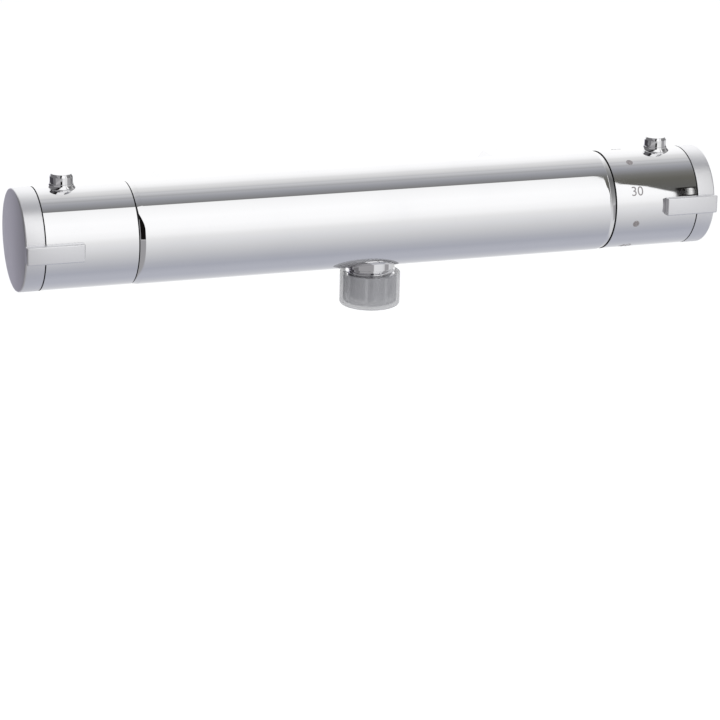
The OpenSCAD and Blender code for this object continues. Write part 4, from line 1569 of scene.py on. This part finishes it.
def check_spring(node: str, joint: str, x: float) -> SpringSizes:
    """The spring behind a check valve's poppet.

    Args:
        node: the node that it replaces.
        joint: the poppet's joint.
        x: where the inlet lies, in millimetres.

    Returns:
        Its sizes.
    """
    return SpringSizes(node, Body.VALVE, joint, axis=(0, 1, 0), foot=(x, -22.15, 0), length=7.1,
                       coil_r=2.4, wire_r=0.35, turns=5.0, travel=3.0)


def button_spring(node: str, body: Body, joint: str, x: float) -> SpringSizes:
    """The spring under an override button.

    Args:
        node: the node that it replaces.
        body: the knob that carries it.
        joint: the button's joint.
        x: where the button lies, in millimetres.

    Returns:
        Its sizes.
    """
    return SpringSizes(node, body, joint, axis=(0, 0, 1), foot=(x, -BAR.wall_reach, 14.48),
                       length=3.64, coil_r=3.4, wire_r=0.22, turns=3.5, travel=1.8)


SPRINGS = (
    check_spring("check_spring_hot", "hot_check_open", -BAR.inlet_half),
    check_spring("check_spring_cold", "cold_check_open", BAR.inlet_half),
    button_spring("flow_button_spring", Body.FLOW, "flow_button_press", -133.6),
    button_spring("temp_button_spring", Body.TEMP, "temp_button_press", 130.6),
    SpringSizes("return_spring", Body.VALVE, "regulation", axis=(1, 0, 0),
                foot=(42.69, -BAR.wall_reach, 0), length=21.72, coil_r=6.0, wire_r=0.7,
                turns=7.0, travel=2.3),
)


class Springs(Builder):
    """Springs with closed ends."""

    # Sides of the wire, steps in a turn, and the rise of each end turn by the wire's radius
    WIRE_SIDES = 12
    TURN_STEPS = 32
    END_RISE = 2.1

    def build(self) -> None:
        """Makes every spring."""
        for spring in SPRINGS:
            piece = make_piece(spring.node.replace("spring", "coil"), self.wound(spring))
            axis, foot = Vector(spring.axis), Vector(spring.foot) * MM
            turn = Z_AXIS.rotation_difference(axis).to_matrix().to_4x4()
            piece.data.transform(Matrix.Translation(foot) @ turn)
            smooth_by_angle(piece, degrees=50.0)
            self.hand_over(piece, Slot.STEEL, spring.body, spring.node)
            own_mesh(piece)

    def wound(self, spring: SpringSizes) -> bmesh.types.BMesh:
        """Winds a wire up Z from the origin.

        Args:
            spring: its sizes.

        Returns:
            The shape in metres.
        """
        bm = bmesh.new()
        bmesh.ops.create_circle(bm, segments=self.WIRE_SIDES, radius=spring.wire_r * MM)
        swing(bm, math.pi / 2, "X")
        bmesh.ops.translate(bm, verts=bm.verts, vec=Vector((spring.coil_r, 0, spring.wire_r)) * MM)
        closed = self.END_RISE * spring.wire_r
        open_rise = spring.length - 2 * spring.wire_r - 2 * closed
        last = bm.verts[:] + bm.edges[:]
        for turns, rise in ((1.0, closed), (spring.turns - 2, open_rise), (1.0, closed)):
            steps = round(turns * self.TURN_STEPS)
            last = bmesh.ops.spin(bm, geom=last, cent=(0, 0, 0), axis=(0, 0, 1),
                                  dvec=(0, 0, rise / steps * MM), angle=math.tau * turns,
                                  steps=steps, use_merge=False, use_duplicate=False)["geom_last"]
        close_up(bm)
        return bm


@dataclass(frozen=True)
class DialSizes:
    """Printed marks of the temperature handle; angles count upwards from the front."""

    u: float = 115.3
    # The angle of 30, the angle between two marks, and how many of those each mark is away
    first: float = 21.5
    step: float = 38.9
    numbers: Sequence[tuple[int, float]] = ((20, 2.1), (30, 0), (40, -2.15))
    dots: Sequence[float] = (3, 1, -1, -3)
    digit_size: float = 5.8
    digit_merge: float = 0.002
    curve_steps: int = 6
    dot_r: float = 1.5
    dot_steps: int = 40
    sink: float = 0.06
    proud: float = 0.025
    # Strips that let a flat mark bend: their width, how many lie on each side of its middle, and
    # how near to a cut a point counts as on it
    strip: float = 0.35
    strips: int = 8
    strip_play: float = 0.0005


DIAL = DialSizes()


class Dial(Builder):
    """Plain temperature numbers with a dot between each two, printed round the sleeve."""

    def build(self) -> None:
        """Makes all the marks as one thin inlay."""
        d = DIAL
        whole = bmesh.new()
        for number, place in d.numbers:
            self.add(whole, self.number(str(number)), d.first + place * d.step)
        for place in d.dots:
            dot = bmesh.new()
            bmesh.ops.create_circle(dot, cap_ends=True, segments=d.dot_steps, radius=d.dot_r * MM)
            self.add(whole, dot, d.first + place * d.step)
        piece = make_piece("temp_marks", whole)
        smooth_by_angle(piece, degrees=40.0)
        piece.data.materials.clear()
        piece.data.materials.append(DialInk().make())
        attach(piece, Body.TEMP.value)
        log.info("piece %s: %d faces", piece.name, len(piece.data.polygons))

    @staticmethod
    def number(text: str) -> bmesh.types.BMesh:
        """A flat number, centred on the origin.

        Args:
            text: its digits.

        Returns:
            The flat shape in metres.
        """
        curve = bpy.data.curves.new("digits", "FONT")
        curve.body = text
        curve.size = DIAL.digit_size * MM
        curve.align_x = "CENTER"
        curve.align_y = "CENTER"
        curve.resolution_u = DIAL.curve_steps
        writer = bpy.data.objects.new("digits", curve)
        bpy.context.scene.collection.objects.link(writer)
        bpy.context.view_layer.update()
        graph = bpy.context.evaluated_depsgraph_get()
        mesh = bpy.data.meshes.new_from_object(writer.evaluated_get(graph))
        bpy.data.objects.remove(writer)
        flat = bmesh.new()
        flat.from_mesh(mesh)
        bmesh.ops.remove_doubles(flat, verts=flat.verts, dist=DIAL.digit_merge * MM)
        return flat

    @staticmethod
    def add(whole: bmesh.types.BMesh, flat: bmesh.types.BMesh, angle: float) -> None:
        """Cuts a flat mark into strips, thickens it and bends it round the sleeve.

        Args:
            whole: the inlay that it joins.
            flat: the flat mark, which is freed.
            angle: where it stands, in degrees above the front.
        """
        d = DIAL
        for k in range(-d.strips, d.strips + 1):
            bmesh.ops.bisect_plane(flat, geom=flat.verts[:] + flat.edges[:] + flat.faces[:],
                                   dist=d.strip_play * MM, plane_co=(0, k * d.strip * MM, 0),
                                   plane_no=(0, 1, 0))
        bmesh.ops.triangulate(flat, faces=flat.faces)
        shell = bmesh.ops.extrude_face_region(flat, geom=flat.faces[:])["geom"]
        lifted = [v for v in shell if isinstance(v, bmesh.types.BMVert)]
        bmesh.ops.translate(flat, verts=lifted, vec=(0, 0, (d.sink + d.proud) * MM))
        bmesh.ops.recalc_face_normals(flat, faces=flat.faces)
        middle = math.radians(angle)
        for vert in flat.verts:
            radius = (HANDLE.radius - d.sink) * MM + vert.co.z
            turn = middle + vert.co.y / (HANDLE.radius * MM)
            vert.co = BAR.axis_foot + Vector((d.u * MM + vert.co.x, -radius * math.cos(turn),
                                              radius * math.sin(turn)))
        pour(flat, whole)


# The other nodes keep their solids and get their finishes

KEPT = {
    Slot.BRASS: ["waterway_core", "flow_retaining_nut", "temp_retaining_nut", "flow_spindle",
                 "temp_spindle", "lift_nut"],
    Slot.RUBBER: ["inlet_o_rings", "outlet_o_ring", "flow_port_seal", "thermostat_o_rings"],
    Slot.WHITE_PLASTIC: ["check_valve_housings", "check_poppet_hot", "check_poppet_cold"],
    Slot.STEEL: ["flow_handle_screw", "temp_handle_screw", "thermostat_screen"],
    Slot.BLACK_PLASTIC: ["flow_glide_ring", "temp_glide_ring", "flow_hub", "temp_hub",
                         "flow_stop_ring", "temp_stop_ring"],
    Slot.CARTRIDGE: ["flow_cartridge_body", "thermostat_body", "regulating_slide"],
    Slot.CERAMIC: ["flow_fixed_disc", "flow_moving_disc"],
    Slot.COPPER: ["wax_element"],
}


def dress_kept_nodes(palette: Palette) -> None:
    """Gives every node that keeps its solid its finish.

    Args:
        palette: the finishes.
    """
    for slot, names in KEPT.items():
        for name in names:
            palette.dress(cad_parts[name], slot)
            log.info("node %s: %s", name, slot.value)


# Studio

@dataclass(frozen=True)
class Lamp:
    """A square soft lamp, in metres and watts."""

    place: tuple[float, float, float]
    size: float
    power: float


@dataclass(frozen=True)
class StudioSizes:
    """Camera, floor and brightness of the surroundings, in metres and degrees."""

    camera_place: tuple[float, float, float] = (-0.38704, -1.0787, 0.29214)
    yaw: float = 20.283
    pitch: float = -17.837
    roll: float = 1.42
    lens: float = 135.70
    sensor: float = 36.0
    clip_start: float = 0.01
    floor_z: float = -0.62
    floor_size: float = 9.0
    floor_roughness: float = 0.9
    floor_colour: Colour = (0.9, 0.9, 0.9)
    # What the floor glows, seen by the camera; what dull pieces receive; and what metal mirrors
    floor_glow: float = 0.47
    soft_colour: Colour = (0.93, 0.94, 0.96)
    soft_light: float = 0.62
    mirror_light: float = 1.18


LAMPS = {
    "key_lamp": Lamp(place=(-0.9, -1.3, 1.5), size=1.2, power=14.0),
    "fill_lamp": Lamp(place=(1.2, -0.9, 0.7), size=1.0, power=5.0),
}
WHITE: Colour = (1.0, 1.0, 1.0)
GREY: Colour = (0.305, 0.30, 0.31)
BLACK: Colour = (0.006, 0.005, 0.005)
DUSK: Colour = (0.15, 0.148, 0.155)
GLOOM: Colour = (0.05, 0.048, 0.055)
LILAC: Colour = (0.45, 0.435, 0.515)
GLINT: Colour = (0.95, 0.95, 0.93)

# Brightness of what the metal mirrors, by angle round the bar: 0 is level in front, 90 is
# straight up and -90 straight down. Each stop is an angle, a grey and a blue cast.
OPEN_STOPS = (
    (-180, 0.97, 0.00), (-160, 0.93, 0.00), (-147, 0.72, 0.01), (-136, 0.58, 0.02),
    (-122, 0.50, 0.03), (-105, 0.44, 0.04), (-90, 0.43, 0.04), (-75, 0.39, 0.04),
    (-62, 0.42, 0.03), (-48, 0.49, 0.02), (-34, 0.57, 0.01), (-18, 0.67, 0.01),
    (-4, 0.76, 0.00), (6, 0.88, 0.00), (20, 0.95, 0.00), (40, 0.97, 0.00),
    (60, 0.92, 0.00), (76, 0.86, 0.00), (180, 0.97, 0.00),
)
DARK_STOPS = (
    (-180, 0.97, 0.00), (-10, 0.70, 0.00), (14, 0.10, 0.00), (52, 0.110, -0.01),
    (58, 0.122, -0.01), (69, 0.165, -0.005), (79, 0.25, 0.01), (88, 0.33, 0.02),
    (93, 0.39, 0.015), (96, 0.36, 0.01), (99, 0.45, 0.01), (104, 0.54, 0.01),
    (107, 0.50, 0.01), (111, 0.60, 0.00), (117, 0.68, 0.00), (121, 0.70, 0.00),
    (129, 0.85, 0.00), (141, 0.94, 0.00), (180, 0.98, 0.00),
)
SIDE_STOPS = (
    (-180, 0.60, 0.00), (-150, 0.58, 0.00), (-92, 0.58, 0.01), (-60, 0.62, 0.01),
    (-30, 0.62, 0.01), (-9, 0.56, 0.00), (4, 0.38, 0.00), (20, 0.27, 0.00),
    (45, 0.19, 0.00), (70, 0.13, 0.00), (100, 0.30, 0.00), (125, 0.62, 0.00), (180, 0.72, 0.00),
)
# Right edge of the soft box: for each x part of the mirrored direction, the angle up to which
# the box reaches
EDGE_STOPS = (
    (0.4138, 71.5), (0.4153, 70.0), (0.4185, 60.0), (0.4228, 48.0), (0.4261, 44.5),
    (0.4310, 39.0), (0.4342, 32.6), (0.4374, 26.0), (0.4400, 21.0), (0.4420, 8.0),
    (0.4460, -12.0),
)
# The ramp that holds that edge: its first x part and its width, its lowest angle and its range,
# and how soft the edge is in degrees
EDGE_START = 0.41
EDGE_WIDTH = 0.04
EDGE_LOW = -20.0
EDGE_RANGE = 100.0
EDGE_SOFT = 0.6


@dataclass(frozen=True)
class Patch:
    """A painted patch of the surroundings, by the x part and the angle of a direction.

    A window of two values is a smooth step from the first to the second, one of three is a band
    and the softness of its edges, and one of four is a step that rises and a step that falls.
    """

    colour: Colour
    across: Sequence[float]
    angle: Sequence[float]
    # Another colour, and the smooth step across at which it takes over
    far: Optional[Colour] = None
    far_span: Span = (0.0, 1.0)
    # A slanting edge: its smooth step across, and how far it moves by degree
    slant: Optional[Span] = None
    slope: float = 0.0

    @staticmethod
    def window(wire: Wire, limits: Sequence[float]) -> Wire:
        """The share of a patch along one measure.

        Args:
            wire: the measure.
            limits: two, three or four values.

        Returns:
            The share, from 0 to 1.
        """
        if len(limits) == 3:
            return wire.between(*limits)
        step = wire.smooth(*limits[:2])
        return step * wire.smooth(*limits[2:]) if limits[2:] else step

    def over(self, g: Graph, below: Wire, across: Wire, angle: Wire) -> Wire:
        """Paints the patch over a colour.

        Args:
            g: the world's graph.
            below: the colour.
            across: the x part of a direction.
            angle: its angle round the bar, in degrees.

        Returns:
            The new colour.
        """
        share = self.window(across, self.across) * self.window(angle, self.angle)
        if self.slant:
            share = share * (across + angle * self.slope).smooth(*self.slant)
        paint: Paint = rgba(self.colour)
        if self.far:
            paint = g.mix(across.smooth(*self.far_span), paint, rgba(self.far))
        return g.mix(share, below, paint)


# Where the second soft box starts across and where it ends upwards, and where the colours of the
# sides take over
SECOND_ACROSS = (0.474, 0.482)
SECOND_ANGLE = (76, 74)
SIDES_ACROSS = (0.60, 0.68)
# What only the pegs, the outlet, the chamfers and the ends of the bar mirror, each patch over the
# ones before it
PATCHES = (
    Patch(GREY, (0.0, -0.08), (-150, -3, 3)),
    Patch(GREY, (-0.355, -0.375), (-3, 42, 3)),
    Patch(BLACK, (-0.35, -0.37), (42, 130, 3), far=DUSK, far_span=(-0.42, -0.70)),
    Patch(DUSK, (-0.42, -0.50), (125, 130)),
    Patch(DUSK, (0.72, 0.78), (118, 126)),
    Patch(DUSK, (-0.92, -0.94), (0, -5)),
    Patch(GREY, (0.72, 0.78), (-50, -4, 3)),
    Patch(BLACK, (-0.375, -0.355, -0.055, -0.065), (-3, 72, 1), slant=(0.056, 0.046),
          slope=0.00524),
    Patch(LILAC, (0.05, -0.10), (-134, -146)),
    Patch(GLOOM, (-0.30, -0.36), (-134, -146)),
    Patch(BLACK, (0.4408, 0.4480, 0.0004), (8, 30, 1)),
    Patch(GLINT, (0.4449, 0.4463, 0.0002), (12, 27.5, 1)),
)


class Studio:
    """The white studio: world, lamps, floor and camera."""

    def __init__(self, sizes: StudioSizes) -> None:
        """Keeps the sizes.

        Args:
            sizes: places and angles.
        """
        self.sizes = sizes

    def build(self) -> None:
        """Makes everything round the object."""
        bpy.context.scene.view_settings.view_transform = "Standard"
        self.build_world()
        self.build_floor()
        self.build_lamps()
        self.build_camera()

    @staticmethod
    def stops(rows: Sequence[tuple[float, float, float]]) -> list[tuple]:
        """Turns angles and greys into a ramp's stops.

        Args:
            rows: angle in degrees, grey and blue cast.

        Returns:
            Places from 0 to 1 with their colours.
        """
        return [((angle + 180) / 360, (grey - cast / 2, grey - cast / 4, grey + cast, 1.0))
                for angle, grey, cast in rows]

    def mirrored(self, g: Graph, across: Wire, angle: Wire) -> Wire:
        """Paints what the metal mirrors: soft boxes, dark gaps and a black flag.

        Args:
            g: the world's graph.
            across: the x part of a direction.
            angle: its angle round the bar, in degrees.

        Returns:
            The colour.
        """
        place = angle / 360 + 0.5
        lit, dark, sides = (g.node("ShaderNodeValToRGB", {"stops": self.stops(rows)}, {0: place})
                            for rows in (OPEN_STOPS, DARK_STOPS, SIDE_STOPS))
        edge_stops = [((x - EDGE_START) / EDGE_WIDTH, rgba(((reach - EDGE_LOW) / EDGE_RANGE,) * 3))
                      for x, reach in EDGE_STOPS]
        edge = g.node("ShaderNodeValToRGB", {"stops": edge_stops},
                      {0: (across - EDGE_START) / EDGE_WIDTH})
        box = (angle - edge * EDGE_RANGE).smooth(EDGE_LOW + EDGE_SOFT, EDGE_LOW - EDGE_SOFT)
        second = across.smooth(*SECOND_ACROSS) * angle.smooth(*SECOND_ANGLE)
        colour = g.mix((1 - box) * (1 - second), lit, dark)
        colour = g.mix(across.smooth(*SIDES_ACROSS), colour, sides)
        for patch in PATCHES:
            colour = patch.over(g, colour, across, angle)
        return colour

    def build_world(self) -> None:
        """Makes the surroundings: white to the camera, soft boxes and dark gaps to the metal."""
        s = self.sizes
        world = bpy.data.worlds.new("studio")
        bpy.context.scene.world = world
        world.use_nodes = True
        g = Graph(world.node_tree)
        split = g.node("ShaderNodeSeparateXYZ", None,
                       {0: g.node("ShaderNodeTexCoord", output="Generated")})
        across, depth, height = (Wire(g, socket) for socket in split.socket.node.outputs)
        shown = self.mirrored(g, across, height.atan2(-depth) * math.degrees(1))
        path = g.node("ShaderNodeLightPath").socket.node.outputs
        glossy, seen, through = (Wire(g, path[name]) for name in
                                 ("Is Glossy Ray", "Is Camera Ray", "Is Transmission Ray"))
        soft, metal, white = (
            g.node("ShaderNodeBackground", None, {"Color": colour, "Strength": strength})
            for colour, strength in ((rgba(s.soft_colour), s.soft_light), (shown, s.mirror_light),
                                     (rgba(WHITE), 1.0)))
        shader = g.node("ShaderNodeMixShader", None, {0: glossy, 1: soft, 2: metal})
        for share in (seen, through):
            shader = g.node("ShaderNodeMixShader", None, {0: share, 1: shader, 2: white})
        g.node_output("ShaderNodeOutputWorld", shader)

    def build_floor(self) -> None:
        """Makes the pale floor far below the valve, which keeps its soft shadow."""
        s = self.sizes
        bm = bmesh.new()
        bmesh.ops.create_grid(bm, x_segments=4, y_segments=4, size=s.floor_size / 2)
        bmesh.ops.translate(bm, verts=bm.verts, vec=(0, 0, s.floor_z))
        floor = make_piece("studio_floor", bm)
        material, g = new_material("pale_floor")
        path = g.node("ShaderNodeLightPath")
        seen = Wire(g, path.socket.node.outputs["Is Camera Ray"])
        paint = g.principled({"Base Color": rgba(s.floor_colour), "Roughness": s.floor_roughness})
        glow = g.node("ShaderNodeEmission", None,
                      {"Color": rgba(WHITE), "Strength": s.floor_glow})
        both = g.node("ShaderNodeAddShader", None, {0: paint, 1: glow})
        g.surface(g.node("ShaderNodeMixShader", None, {0: seen, 1: paint, 2: both}))
        floor.data.materials.append(material)
        floor.visible_glossy = False

    @staticmethod
    def build_lamps() -> None:
        """Makes two large soft lamps that the metal doesn't mirror."""
        for name, lamp in LAMPS.items():
            light = bpy.data.lights.new(name, "AREA")
            light.size = lamp.size
            light.energy = lamp.power
            holder = bpy.data.objects.new(name, light)
            holder.location = lamp.place
            aim = BAR.axis_foot - Vector(lamp.place)
            holder.rotation_euler = aim.to_track_quat("-Z", "Y").to_euler()
            holder.visible_glossy = False
            bpy.context.scene.collection.objects.link(holder)

    def build_camera(self) -> None:
        """Puts the camera where the photograph was taken from."""
        s = self.sizes
        yaw, pitch, roll = (math.radians(a) for a in (s.yaw, s.pitch, s.roll))
        forward = Vector((math.sin(yaw) * math.cos(pitch), math.cos(yaw) * math.cos(pitch),
                          math.sin(pitch)))
        level = Vector((math.cos(yaw), -math.sin(yaw), 0))
        above = level.cross(forward)
        right = math.cos(roll) * level + math.sin(roll) * above
        up = math.cos(roll) * above - math.sin(roll) * level
        turn = Matrix((right, up, -forward)).transposed().to_4x4()
        camera = bpy.data.cameras.new("photo_camera")
        camera.lens = s.lens
        camera.sensor_width = s.sensor
        camera.clip_start = s.clip_start
        holder = bpy.data.objects.new("photo_camera", camera)
        holder.matrix_world = Matrix.Translation(s.camera_place) @ turn
        bpy.context.scene.collection.objects.link(holder)
        bpy.context.scene.camera = holder


def main() -> None:
    """Builds the studio and every piece in order."""
    Studio(StudioSizes()).build()
    palette = Palette()
    dress_kept_nodes(palette)
    BodyShell(palette).build()
    Outlet(palette).build()
    Springs(palette).build()
    for side in Side:
        Inlet(palette, side).build()
        Handle(palette, side).build()
    Dial(palette).build()


if __name__ == "__main__":
    main()
